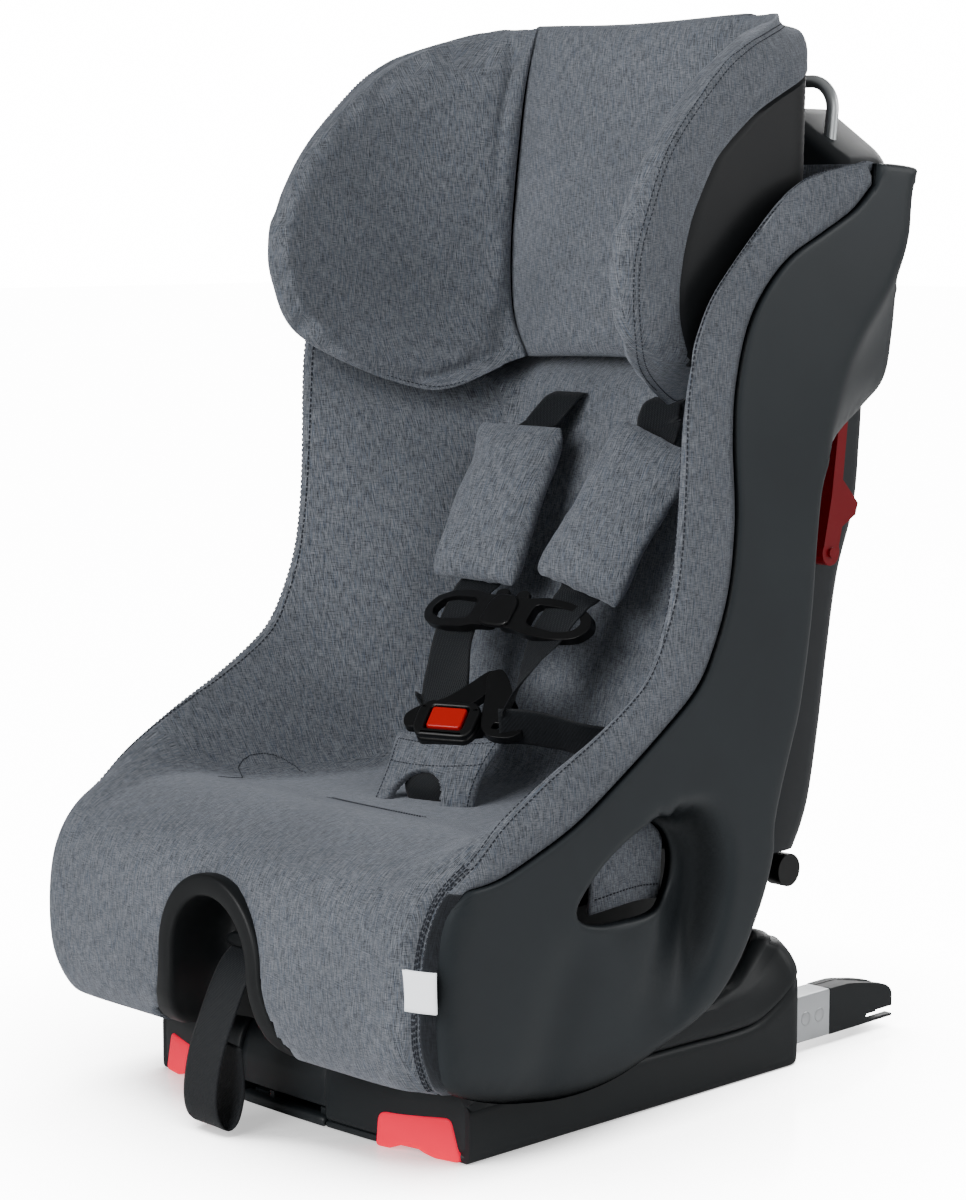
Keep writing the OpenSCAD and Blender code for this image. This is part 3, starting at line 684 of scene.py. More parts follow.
def cover_grid(rows=250, flat_cols=17, wall_cols=26, band_cols=9):
    """Rows run from the front edge to the top; columns from the left edge to the right."""
    centre, ridge, edge = (smooth_curve(c, rows) for c in (CENTRE, RIDGE, EDGE))
    flat, steep = smooth_curve(np.array(FLAT)[:, None], rows), smooth_curve(np.array(STEEP)[:, None], rows)
    rim = even_curve(SHELL_FRONT, 500)
    for i in np.flatnonzero(edge[:, 2] > 208):
        gap = np.linalg.norm(rim - edge[i, 1:], axis=1)
        edge[i, 1:] = rim[gap.argmin()]
    q = np.linspace(0, 1, wall_cols + 1)[1:]
    q[-2] = 0.975
    columns = []
    for s in np.linspace(0, 1, flat_cols):
        columns.append(np.hstack([flat * s, centre]))
    for s in q:
        along = (1 - steep) * s + steep * (1 - (1 - s) ** 5)
        rise = (1 - steep) * s ** 1.25 + steep * s ** 1.7
        x = flat + (ridge[:, :1] - flat) * along
        columns.append(np.hstack([x, centre + (ridge[:, 1:] - centre) * rise]))
    band = np.concatenate([[0.10], np.linspace(0.22, 1, band_cols)])
    for s in band:
        p = ridge + (edge - ridge) * s
        p[:, 0] += 3.2 * math.sin(math.pi * s) ** 0.8
        columns.append(p)
    for deep in (3.0, 7.0, 11.0):
        tuck = edge.copy()
        tuck[:, 0] -= 3 + deep * 0.25
        tuck[:, 1:] += unit(edge[:, 1:] - ridge[:, 1:]) * deep
        columns.append(tuck)
    half = np.stack(columns, 1)
    ridge_col = flat_cols + wall_cols - 1
    return half, ridge_col


def dish(half, ridge_col):
    """Padding: the seat and back swell a little between their seams."""
    rows, cols, _ = half.shape
    faces = grid_faces(rows, cols)
    normals = vertex_normals(half.reshape(-1, 3), faces).reshape(half.shape)
    if normals[rows // 2, 0, 1] > 0:
        normals = -normals
    r = np.linspace(0, 1, rows)[:, None]
    c = np.arange(cols)[None, :] / ridge_col
    wall = np.sin(math.pi * np.clip((c - 0.45) / 0.55, 0, 1)) * ease(r / 0.16) * (1 - ease((r - 0.72) / 0.06))
    out = half + normals * (6.0 * wall)[..., None]
    out[:, :3, 0] = half[:, :3, 0]
    groove = np.exp(-((np.arange(cols) - ridge_col) / 0.6) ** 2)[None, :, None]
    return out - normals * groove * 1.1, normals


def relax(grid, low, high):
    """Softens the fold along the ridge."""
    for _ in range(2):
        inner = grid[:, low:high]
        grid[:, low:high] = 0.5 * inner + 0.25 * (grid[:, low - 1:high - 1] + grid[:, low + 1:high + 1])
    return grid


def both_halves(half):
    """A grid that runs from its centre column outwards, completed on the other side."""
    return np.concatenate([flip_x(half[:, :0:-1]), half], 1)


def cut_arch(full):
    """Opens the arch at the front, and draws the cut edge onto its outline."""
    verts = full.reshape(-1, 3)
    outline = arch_outline(ARCH_R - 3, 400, 20)
    closed = np.vstack([outline, [(outline[-1, 0] - 3, 40), (outline[0, 0] + 3, 40)]])
    front = verts[:, 1] < -215
    gap = np.full(len(verts), 1e3)
    gap[front] = distance_to(verts[front][:, [0, 2]], closed, True)
    inside = front.copy()
    inside[front] = inside_outline(verts[front][:, [0, 2]], closed)
    for i in np.flatnonzero(gap < SNAP):
        to = np.linalg.norm(outline - verts[i, [0, 2]], axis=1)
        if to.min() < 6:
            verts[i, 0], verts[i, 2] = outline[to.argmin()]
    cut = inside & (gap >= SNAP)
    return verts, [f for f in grid_faces(*full.shape[:2]) if not any(cut[i] for i in f)]


def build_liner(half, normals, ridge_col):
    """Bead foam under the cover; it shows from behind and through the belt opening."""
    inner = half[8:, :ridge_col - 7] - normals[8:, :ridge_col - 7] * 3.4
    inner[..., 0] = np.minimum(inner[..., 0], 203)
    sheet = both_halves(inner)[::2, ::2]
    up = both_halves(normals[8:, :ridge_col - 7])[::2, ::2]
    liner = sheet.reshape(-1, 3)
    hollow = (np.abs(liner[:, 0]) < 70) & (liner[:, 1] < -200)
    faces = [f for f in grid_faces(*sheet.shape[:2]) if not any(hollow[i] for i in f)]
    depth = 1.5 + 10.5 * (1 - ease((np.abs(liner[:, 0]) - 168) / 22))
    piece("foam_liner", thicken(liner, faces, depth, up.reshape(-1, 3)), FOAM, "seat", 50, "foam_white",
          "back_foam")


def build_cover():
    """The fabric over the seat, the back and both bolsters."""
    half, ridge_col = cover_grid()
    half = relax(half, ridge_col - 3, ridge_col + 3)
    half, normals = dish(half, ridge_col)
    verts, faces = cut_arch(both_halves(half))
    solid = thicken(verts, faces, 3.0, both_halves(normals).reshape(-1, 3))
    cover = piece("seat_cover", solid, FABRIC, "seat", None, "fabric_grey")
    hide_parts("seat_cushion", "back_cushion", "bolster_left", "bolster_right")
    build_liner(half, normals, ridge_col)
    return half, normals, ridge_col


def mirrored(name, part, *look, **options):
    """The same part on both sides, as NAME_right and NAME_left, on nodes named the same way."""
    node = options.pop("node", None)
    for side, s in SIDES:
        piece(name + "_" + side, (np.asarray(part[0]) * (s, 1, 1), part[1]), *look,
              node=node and node + side, **options)


def cover_seams(half, normals, ridge_col):
    """Topstitching along the bolster ridge, and the double seam of the front gusset."""
    stitches = []
    for offset, rows, pitch, length, radius, lift in (
            (0.9, slice(6, -4), 4.2, 3.1, 0.6, 0.5), (-1.35, slice(6, -4), 4.2, 3.1, 0.6, 0.5),
            (-0.55, slice(6, GUSSET_ROWS + 8), 4.6, 4.0, 0.56, 0.3),
            (-2.4, slice(6, GUSSET_ROWS + 8), 4.6, 4.0, 0.56, 0.3)):
        low = int(math.floor(ridge_col + offset))
        f = ridge_col + offset - low
        line, up = (g[:, low] * (1 - f) + g[:, low + 1] * f for g in (half, normals))
        stitches.append(stitch_part(line[rows], unit(up)[rows], pitch, length, radius, lift))
    mirrored("bolster_stitching", join_parts(stitches), THREAD, "seat", None)


GUSSET_ROWS = 62


def front_gusset(half, normals, ridge_col):
    """Dark strip between the double seam and the side shell."""
    up = normals[:GUSSET_ROWS, ridge_col + 1:]
    sheet = half[:GUSSET_ROWS, ridge_col + 1:] + up * 0.6
    solid = thicken(sheet.reshape(-1, 3), grid_faces(*sheet.shape[:2]), 1.2, up.reshape(-1, 3))
    mirrored("front_gusset", solid, MESH_FABRIC, "seat", None, "fabric_grey")


half_cover, cover_normals, RIDGE_COL = build_cover()
front_gusset(half_cover, cover_normals, RIDGE_COL)
cover_seams(half_cover, cover_normals, RIDGE_COL)


# ---------------------------------------------------------------- side shells

def fill_plate(outline, holes, spacing, rings=(1.2, 3.0, 6.0, 10.0)):
    """Even triangles inside an outline, with finer rings along its edges."""
    loops = [np.asarray(outline, float)] + [np.asarray(h, float) for h in holes]
    low, high = loops[0].min(0), loops[0].max(0)
    xs = np.arange(low[0], high[0], spacing)
    ys = np.arange(low[1], high[1], spacing * 0.87)
    lattice = np.array([(x + (spacing / 2 if k % 2 else 0), y) for k, y in enumerate(ys) for x in xs])
    lattice = lattice[between(lattice, loops)]
    gap = np.min([distance_to(lattice, loop, True) for loop in loops], axis=0)
    lattice = lattice[gap > rings[-1] + spacing * 0.4]
    inner = []
    for k, loop in enumerate(loops):
        tangent = unit(np.roll(loop, -1, 0) - np.roll(loop, 1, 0))
        inward = np.stack([-tangent[:, 1], tangent[:, 0]], 1)
        for r in rings:
            ring = loop + inward * r
            if inside_outline(ring, loops[0]).mean() < 0.5 or (k and inside_outline(ring, loop).mean() > 0.5):
                ring = loop - inward * r
            clear = np.min([distance_to(ring, other, True) for other in loops], axis=0)
            inner.append(ring[between(ring, loops) & (clear > r * 0.9)])
    return triangulate(loops, inner + [lattice], 1e-4)


def even_rim(recess):
    """Rear limit of the recess: y at each height."""
    back = recess[recess[:, 0].argmax() - 60:]
    back = back[back[:, 1].argsort()]
    return back[:, 1], back[:, 0]


def top_rim(recess):
    """Upper limit of the recess: z at each y."""
    over = recess[:recess[:, 0].argmax()]
    return np.append(over[:, 0], 400), np.append(over[:, 1], over[-1, 1])


def shell_face(p, outline, hole):
    """Outer X of the side shell at each (y, z)."""
    y, z = p[:, 0], p[:, 1]
    crease = even_curve(CREASE, 80)
    crease = crease[crease[:, 1].argsort()]
    crease_y = np.interp(z, crease[:, 1], crease[:, 0], left=400, right=300)
    rear = even_curve(WRAP_REAR, 120)
    rear_y = np.interp(z, rear[:, 1], rear[:, 0])
    x = np.full(len(p), SHELL_X - 1.0)
    # the upper rear wraps round towards the casing
    past = np.clip((y - crease_y) / np.maximum(rear_y - crease_y, 20), 0, 1)
    wraps = ease((z - 455) / 60)
    x -= (SHELL_X - WRAP_X) * past * wraps
    # the sculpted recess behind the belt opening
    recess = even_curve(RECESS, 160)
    to_recess = distance_to(p, recess)
    in_y = y < np.interp(z, *even_rim(recess))
    below_top = z < np.interp(y, *top_rim(recess))
    within = in_y & below_top
    to_hole = distance_to(p, hole, True)
    valley = ease(to_recess / 12) * (1 - 0.9 * ease((to_recess - 16) / 52))
    fade = ease((z - 66) / 90)
    reach = ease((y + 96) / 70)
    near = np.exp(-((y + 2) / 32) ** 2 - ((z - 200) / 40) ** 2) * ease(to_recess / 8)
    dip = 24.0 * (1 - (1 - valley * fade * reach) * (1 - 0.8 * near))
    x -= np.where(within, dip, 0)
    # a soft crease that runs down from the opening
    line = np.array([(-112, 172), (-122, 140), (-138, 100), (-156, 50)])
    side = y - np.interp(z, line[::-1, 1], line[::-1, 0])
    x -= 2.0 * np.exp(-(side / 22) ** 2) * ease((172 - z) / 40)
    # edges: rolled at the front foot, lightly rounded elsewhere
    to_edge = distance_to(p, outline, True)
    front = distance_to(p, even_curve(SHELL_FRONT, 200))
    roll = 9.0 + 7.0 * ease((-60 - y) / 90) * ease((215 - z) / 30) - 4.0 * ease((z - 430) / 60)
    roll = 2.5 + (roll - 2.5) * ease(front / 16)
    q = np.clip(1 - to_edge / roll, 0, 1)
    x -= roll * 0.75 * (1 - np.sqrt(1 - q ** 2 * 0.98))
    near_hole = np.clip(1 - to_hole / 4.0, 0, 1)
    x -= 3.0 * (1 - np.sqrt(1 - near_hole ** 2 * 0.98))
    return x


def eased_sheet(x, faces, clear):
    """Even out the sheet away from its edges."""
    f = np.array([face for face in faces if len(face) == 3])
    ends = np.vstack([f[:, [0, 1]], f[:, [1, 2]], f[:, [2, 0]]])
    ends = np.vstack([ends, ends[:, ::-1]])
    count = np.bincount(ends[:, 0], minlength=len(x))
    share = 0.6 * ease((clear - 4) / 8)
    for _ in range(5):
        mean = np.bincount(ends[:, 0], weights=x[ends[:, 1]], minlength=len(x)) / np.maximum(count, 1)
        x = x + (mean - x) * share
    return x


def build_side_shells():
    """Moulded side shells, open where the vehicle belt passes."""
    outline = np.vstack([even_curve(SHELL_REAR, 230)[:-1], even_curve(SHELL_FRONT, 130)])
    hole = even_curve(BELT_HOLE, 60, closed=True)
    flat, faces = fill_plate(outline, [hole], 5.0)
    x = shell_face(flat, outline, hole)
    x = eased_sheet(x, faces, np.minimum(distance_to(flat, outline, True), distance_to(flat, hole, True)))
    verts = np.column_stack([x, flat])
    normals = vertex_normals(verts, faces)
    faces = outward(normals, faces, normals[:, 0].mean() < 0)[1]
    solid = thicken(verts, faces, 4.0, np.broadcast_to([1.0, 0, 0], verts.shape))
    mirrored("side_shell", solid, SHELL, "seat", 50, "shell_plastic", node="side_shell_")


build_side_shells()


# ---------------------------------------------------------------- seams and padding

CLOTH_FRAMES = 20


def surface_of(obj):
    """Search tree of an object's surface, in millimetres."""
    polygons = [tuple(p.vertices) for p in obj.data.polygons]
    return BVHTree.FromPolygons([Vector(v) for v in coordinates(obj.data) / MM], polygons)


def stitch_on(tree, path, **options):
    """Stitches along a path, laid down on the surface under it."""
    found = [tree.find_nearest(Vector(p)) for p in path]
    return stitch_part([f[0] for f in found], [f[1] for f in found], **options)


def puff(obj, voxel=5.0, pressure=4.0, cap=7.0, seams=(), grip=7.0):
    """Fills a closed cushion with a short cloth simulation; the seams stay where they are."""
    if voxel:
        remesh = obj.modifiers.new("remesh", "REMESH")
        remesh.mode = "VOXEL"
        remesh.voxel_size = voxel * MM
        remesh.use_smooth_shade = True
    material = obj.data.materials[0]
    mesh = apply_modifiers(obj)
    mesh.materials.clear()
    mesh.materials.append(material)
    before = coordinates(mesh)
    group = obj.vertex_groups.new(name="seam")
    if seams:
        gap = np.min([distance_to(before / MM, s) for s in seams], axis=0)
        for i in np.flatnonzero(gap < grip):
            group.add([int(i)], float(1 - ease((gap[i] - grip * 0.4) / (grip * 0.6))), "REPLACE")
    cloth = obj.modifiers.new("cloth", "CLOTH").settings
    cloth.use_pressure = True
    cloth.uniform_pressure_force = pressure
    cloth.effector_weights.gravity = 0
    cloth.vertex_group_mass = "seam"
    cloth.quality = 5
    cloth.tension_stiffness = 18
    cloth.bending_stiffness = 0.8
    scene = bpy.context.scene
    for step in range(1, CLOTH_FRAMES + 1):
        scene.frame_set(step)
    graph = bpy.context.evaluated_depsgraph_get()
    move = coordinates(obj.evaluated_get(graph).data) - before
    far = np.linalg.norm(move, axis=1, keepdims=True)
    move *= np.minimum(1, cap * MM / np.maximum(far, 1e-9))
    obj.modifiers.clear()
    mesh.vertices.foreach_set("co", (before + move).ravel())
    scene.frame_set(1)
    even = obj.modifiers.new("even", "SMOOTH")
    even.factor = 0.5
    even.iterations = 3 if voxel else 1
    smooth = obj.modifiers.new("smooth", "SUBSURF")
    smooth.levels = smooth.render_levels = 1
    mesh = apply_modifiers(obj)
    obj.vertex_groups.clear()
    mesh.shade_smooth()


def plate(outline, holes, low, high, axis):
    """A flat plate with holes: outline in the two axes left over."""
    verts, faces = triangulate([np.asarray(loop, float) for loop in (outline, *holes)])
    direction = np.zeros((len(verts), 3))
    direction[:, axis] = 1
    return thicken(np.insert(verts, axis, high, axis=1), faces, high - low, direction)


def turned(verts, degrees, place):
    """Tilts about the X axis, then moves into place."""
    a = math.radians(degrees)
    v = np.asarray(verts, float)
    y = v[:, 1] * math.cos(a) - v[:, 2] * math.sin(a)
    z = v[:, 1] * math.sin(a) + v[:, 2] * math.cos(a)
    return np.stack([v[:, 0], y, z], 1) + np.asarray(place, float)


def lofted(rings, caps=True):
    """A closed skin through matching rings, with fan caps."""
    rows, cols = len(rings), len(rings[0])
    faces = grid_faces(rows, cols, True)
    verts = [np.asarray(r, float) for r in rings]
    if caps:
        verts.append(np.array([verts[0].mean(0), verts[-1].mean(0)]))
        for end, start in enumerate((0, (rows - 1) * cols)):
            for i in range(cols):
                pair = (start + i, start + (i + 1) % cols)
                faces.append((*(pair if end else pair[::-1]), rows * cols + end))
    return np.vstack(verts), faces


# ---------------------------------------------------------------- headrest

WING_INNER = [(103, 165, 801), (103, 163, 796), (104, 161, 788), (107, 159, 772), (111, 157, 748),
              (115, 155, 712), (119, 153, 668), (121, 152, 638), (121, 151, 608), (118, 150, 582),
              (114, 150, 566), (108, 150, 553), (104, 150, 545), (102, 150, 538)]
WING_FRONT = [(136, 168, 801), (149, 153, 800), (162, 121, 794), (171, 84, 782), (177, 32, 750),
              (182, -17, 702), (181, -46, 652), (179, -52, 625), (176, -49, 597), (171, -36, 568),
              (160, -6, 543), (139, 53, 521), (121, 84, 517), (110, 135, 534)]
WING_SEAM = [(150, 166, 793), (170, 140, 789), (184, 106, 780), (191, 78, 770), (194, 46, 750),
             (196, -5, 700), (197, -30, 652), (195, -38, 624), (192, -37, 598), (186, -28, 568),
             (168, -2, 543), (141, 50, 521), (123, 86, 516), (111, 135, 533)]
WING_PLATE = [(172, 165, 764), (182, 158, 757), (189, 141, 749), (190, 116, 738), (190, 90, 725),
              (190, 50, 695), (190, 24, 655), (190, 14, 628), (190, 9.5, 600), (190, 12, 574),
              (188, 30, 553), (180, 70, 547), (165, 120, 545), (140, 150, 544)]


def wing_rings(rows=110):
    """Sections of a wing from top to bottom, with the curves that they run through."""
    inner, front, seam, rim = (smooth_curve(c, rows) for c in
                               (WING_INNER, WING_FRONT, WING_SEAM, WING_PLATE))
    spread = front - inner
    controls = []
    for q in (0.0, 0.2, 0.42, 0.64, 0.84, 0.95):
        bowl = inner + spread * q
        bowl[:, 0] = bowl[:, 0] * 0.4 + (inner[:, 0] + spread[:, 0] * math.sin(math.pi * q / 2)) * 0.6
        bowl[:, 1] = bowl[:, 1] * 0.4 + (inner[:, 1] + spread[:, 1] * (1 - math.cos(math.pi * q / 2))) * 0.6
        controls.append(bowl)
    out = unit((front + seam) / 2 - (inner + rim) / 2)
    controls += [front, (front + seam) / 2 + out * 4.5, seam]
    band = unit(np.cross(rim - seam, np.gradient(seam, axis=0)))
    band[band[:, 0] < 0] *= -1
    top = (7.0 * np.exp(-(np.arange(rows) / 7.0) ** 2))[:, None]
    controls += [seam + (rim - seam) * 0.35 + band * (2.5 + top),
                 seam + (rim - seam) * 0.75 + band * (2.0 + top * 0.8), rim]
    columns = list(smooth_curve(np.array(controls).reshape(len(controls), -1), 66).reshape(66, rows, 3))
    rear = [np.column_stack([rim[:, 0] - 8, (rim[:, 1] + 168) / 2, rim[:, 2]]),
            np.column_stack([rim[:, 0] - 16, np.full(rows, 170.0), rim[:, 2]])]
    rings = np.stack(columns + [rim + (-5, 4, 0)] + rear + [inner + (6, 12, 0)], 1)
    return rings, inner, front, seam, rim


def half_width(z):
    """Half width of the centre pad, tucked a little under the wings."""
    table = np.array(WING_INNER)[::-1]
    return float(np.interp(z, table[:, 2], table[:, 0])) + 9.0


def build_wings():
    """The two padded wings, with a row of stitches on each side of their front seam."""
    rings, inner, front, seam, rim = wing_rings()
    verts, faces = lofted(rings)
    lines = [seam + unit(rim - seam) * 2.4, seam + unit(front - seam) * 2.4]
    for side, s in SIDES:
        flip = np.array([s, 1, 1])
        wing = piece("headrest_wing_" + side, (verts * flip, faces), FABRIC, "headrest", None,
                     "fabric_grey", "wing_pad_" + side)
        puff(wing, voxel=0, cap=6.0, seams=[inner * flip, seam * flip, rim * flip], grip=5.0)
        tree = surface_of(wing)
        stitches = join_parts([stitch_on(tree, line[3:-6] * flip, lift=0.5) for line in lines])
        piece("headrest_wing_stitching_" + side, stitches, THREAD, "headrest", None)


PAD_Z, PAD_HALF = 670.5, 132.0        # middle and half height of the centre pad


def build_centre_pad():
    """Padded panel between the wings."""
    us, vs = np.linspace(-1, 1, 57), np.linspace(-1, 1, 67)
    grid = []
    for v in vs:
        z = PAD_Z + PAD_HALF * v
        for u in us:
            crown = (1 - abs(u) ** 7) * (1 - abs(v) ** 12)
            ripple = 0.5 * math.sin(9 * u + 2) * math.sin(5 * v + 1) * crown
            y = 157 + 6 * v + 5 - 11.5 * crown + ripple
            grid.append((half_width(z) * u, y, z + 1.5 * u * u * v))
    sheet = np.array(grid)
    solid = thicken(sheet, grid_faces(len(vs), len(us)), 20, np.broadcast_to([0, -1.0, 0], sheet.shape))
    pad = piece("headrest_centre_pad", solid, FABRIC, "headrest", None, "fabric_grey", "headrest_pad")
    heights = PAD_Z + PAD_HALF * vs
    edge = [np.array([(s * half_width(z), 160 + 6 * v, z) for z, v in zip(heights, vs)]) for s in (-1, 1)]
    puff(pad, voxel=0, cap=4.0, seams=edge, grip=6.0)


def build_head_shell():
    """Hard shell behind the pads, with the side plates that show beside the bolsters."""
    plate_edge = np.array([(30, 549), (14, 562), (9, 580), (8, 600), (12, 625), (22, 655), (45, 692),
                           (84, 722), (112, 736), (136, 746), (146, 756), (146, 796)])
    low, high = 545, 796
    levels = np.concatenate([np.linspace(low, 552, 4), np.linspace(556, 788, 56), np.linspace(790, high, 4)])
    start_y = np.interp(levels, plate_edge[:, 1], plate_edge[:, 0])
    corner = rounded([(190, -60), (190, 166), (0, 188)], 42, 10)[10:20]
    plan = np.vstack([[190, -60], corner, [0, 188]])
    run = np.concatenate([[0], np.cumsum(np.linalg.norm(np.diff(plan, axis=0), axis=1))])
    rows = []
    for z, y0 in zip(levels, start_y):
        s0 = y0 + 60 + 1.3 * max(0.0, z - 746)
        s = s0 + (run[-1] - s0) * np.linspace(0, 1, 46)
        x, y = np.interp(s, run, plan[:, 0]), np.interp(s, run, plan[:, 1])
        end = min(z - low, high - z)
        pull = 4.0 * (1 - math.sqrt(max(0.0, 1 - (1 - min(end / 4.0, 1)) ** 2)))
        lip = 3.0 * np.clip(1 - (s - s0) / 5.0, 0, 1) ** 2
        normal = unit(np.stack([np.gradient(y), -np.gradient(x)], 1))
        x, y = x - normal[:, 0] * (pull + lip), y - normal[:, 1] * (pull + lip)
        half = np.column_stack([x, y + (z - 670) * 0.03, np.full(46, z)])
        rows.append(np.vstack([half, flip_x(half[::-1])[1:]]))
    grid = np.array(rows)
    sheet, faces = grid.reshape(-1, 3), grid_faces(*grid.shape[:2])
    normals = vertex_normals(sheet, faces)
    inwards = normals.reshape(grid.shape)[20, grid.shape[1] // 2, 1] < 0
    normals, faces = outward(normals, faces, inwards)
    piece("headrest_shell_skin", thicken(sheet, faces, 4.0, normals), HEAD_PLATE, "headrest", 50,
          "shell_plastic", "headrest_shell")
    bracket = rounded([(-60, 189), (60, 189), (60, 250), (48, 268), (-48, 268), (-60, 250)], 12, 5)
    piece("headrest_bracket", extrusion(bracket, 744, 767, 2), CASING, "headrest", slot="shell_plastic",
          edge=(3.0,))


def build_head_tube():
    """Bright U-shaped tube that carries the headrest."""
    foot = (0, 260, 755)
    top = (cad_high("headrest_tube")[2] - foot[2] - 5) / math.cos(math.radians(7))
    path = [(125, 0, z) for z in np.linspace(-213, top - 24, 26)]
    path += [(101 + 24 * math.cos(a), 0, top - 24 + 24 * math.sin(a)) for a in np.linspace(0.1, 1.5, 12)]
    path = np.array(path + [(x, 0, top) for x in np.linspace(98, 0, 12)])
    path = turned(np.vstack([path, flip_x(path[::-1])[1:]]), -7, foot)
    piece("headrest_tube_bright", tube_part(path, 5.0, 24), TUBE, "headrest", slot="tube_steel",
          node="headrest_tube")


build_wings()
build_centre_pad()
build_head_shell()
build_head_tube()


# ---------------------------------------------------------------- rear casing

CASING_PROFILE = [(206, 165), (216, 182), (225, 206), (235, 256), (244, 313), (256, 376), (275, 428),
                  (281, 480), (284, 512), (292, 526), (302, 540), (304, 600), (304, 650), (303, 700),
                  (300, 724)]


def casing_ring(z, low_y, high_y, half, radius, inset=0.0, drop=0.0):
    """Rear half from left to right, then the front half back again."""
    w, r = half - inset, max(radius - inset, 2)
    xs = np.concatenate([-w + r * (1 - np.cos(np.linspace(0, math.pi / 2, 8))),
                         np.linspace(-w + r, w - r, 40)[1:-1],
                         w - r * (1 - np.cos(np.linspace(0, math.pi / 2, 8)))[::-1]])
    over = np.clip((np.abs(xs) - (w - r)) / r, 0, 1)
    curve = r * (1 - np.sqrt(np.maximum(0, 1 - over ** 2)))
    channel = 7.0 * (1 - ease((np.abs(xs) - 30) / 10)) * ease((z - 250) / 40) * (1 - ease((z - 690) / 30))
    panel = 2.5 * (1 - ease((np.abs(xs) - 118) / 7)) * ease((z - 215) / 12) * (1 - ease((z - 485) / 12))
    fall = drop * np.clip(np.abs(xs) - 92, 0, None) * 0.675
    rear = np.stack([xs, high_y - inset - curve - channel - panel, z - fall], 1)
    ahead = np.stack([xs, low_y + inset + curve * 0.3, z - fall], 1)
    return np.vstack([rear, ahead[::-1]])


def back_y(z):
    """The seat back's rear face at each height."""
    return 57 + (z - 230) * 97 / 280


def build_casing():
    """The moulded cover over the back of the seat."""
    profile = smooth_curve(CASING_PROFILE, 120)
    rings = []
    for y, z in profile:
        ahead = min(max(back_y(z) + 60, 150), 236)
        half = BACK_X + 8 * ease((z - 560) / 60)
        rings.append(casing_ring(z, ahead, y, half, 24, drop=ease((z - 640) / 90)))
    y, z = profile[-1]
    r = 11
    for a in np.linspace(0.25, 1.5, 6):
        rings.append(casing_ring(z + r * math.sin(a), 236, y, BACK_X + 8, 24, r * (1 - math.cos(a)), 1.0))
    verts, faces = lofted(rings, caps=False)
    cols = len(rings[0])
    for end, base in enumerate((0, (len(rings) - 1) * cols)):
        for i in range(cols // 2 - 1):
            quad = (base + i, base + i + 1, base + cols - 2 - i, base + cols - 1 - i)
            faces.append(quad[::-1] if end else quad)
    piece("rear_casing", (verts, faces), CASING, "seat", 32, "shell_plastic", "back_shell")


build_casing()


# ---------------------------------------------------------------- base

RIM_SIDE = [(-180, 66), (60, 66), (90, 69), (104, 72), (120, 75), (138, 81), (150, 86), (163, 93),
            (172, 99), (190, 104)]
PART_LINE = [(-180, 41), (29, 41), (90, 40), (124, 41), (142, 46), (160, 55), (174, 65), (190, 74)]
FRONT_BOW = [(0, -193), (40, -192.5), (80, -191), (110, -188.5), (135, -184), (152, -180), (163, -177.5),
             (170, -175)]


def base_path(inset=0.0):
    """Outside of the base in plan: back along one side and round the rear."""
    side, back = BASE_X - inset, BASE_REAR - inset
    r = 18 - 0.2 * max(inset, 0)
    right = [(side, y) for y in np.linspace(-177, back - r - 3, 64)]
    corner = [(side - r + r * math.cos(a), back - r + r * math.sin(a)) for a in np.linspace(0.04, 1.54, 26)]
    rear = [(x, back) for x in np.linspace(side - r - 3, 0, 24)]
    half = np.array(right + corner + rear)
    return np.vstack([half, half[::-1][1:] * (-1, 1)])


def wall_part(path, low, high, depth, lean=0.0):
    """A wall with a rounded top edge that follows a plan path."""
    lean = np.broadcast_to(lean, len(path))
    insets = np.arange(-1.0, 48.0, 1.0)
    paths = np.array([base_path(i) for i in insets])
    r = 5.0
    rows = []
    for i, (z0, z1, slope) in enumerate(zip(low, high, lean)):
        section = []
        for a in np.linspace(-1.4, 0, 4):
            section.append((-3 * (1 - math.cos(a)) - 0.3, 0, 3 * (1 + math.sin(a))))
        for h in (0.2, 0.4, 0.55, 0.7, 0.82):
            section.append((-slope * h ** 1.8, h, 0))
        for a in np.linspace(0.2, math.pi / 2, 6):
            section.append((-slope - r * (1 - math.cos(a)), 1, -r * (1 - math.sin(a))))
        for a in np.linspace(math.pi / 2, 0.1, 5):
            section.append((-depth - slope + r * (1 - math.cos(a)), 1, -r * (1 - math.sin(a))))
        section.append((-depth - slope * 0.6, 0.3, 0))
        section.append((-depth, 0, 0))
        rows.append([(np.interp(-o, insets, paths[:, i, 0]), np.interp(-o, insets, paths[:, i, 1]),
                      z0 + (z1 - z0) * h + e) for o, h, e in section])
    return np.array(rows).reshape(-1, 3), capped_faces(len(rows), len(section))


def bow(x):
    """Front of the base at each X: it curves forward towards the middle."""
    table = np.array(FRONT_BOW)
    return np.interp(np.abs(x), table[:, 0], table[:, 1])


def bowed(profile, start, end, step=6.0):
    """A profile of (forward offset, z) swept along the bowed front."""
    count = max(3, int(abs(end - start) / step) + 1)
    r = 1.6
    xs = np.concatenate([[start, start + 0.5], np.linspace(start + r, end - r, count), [end - 0.5, end]])
    profile = np.asarray(profile, float)
    middle = (profile.min(0) + profile.max(0)) / 2
    rings = []
    for k, x in enumerate(xs):
        shrink = {0: 1.5, 1: 0.5, len(xs) - 2: 0.5, len(xs) - 1: 1.5}.get(k, 0)
        toward = profile - np.sign(profile - middle) * shrink
        rings.append(np.column_stack([np.full(len(profile), x), bow(x) - toward[:, 0], toward[:, 1]]))
    return lofted(rings)


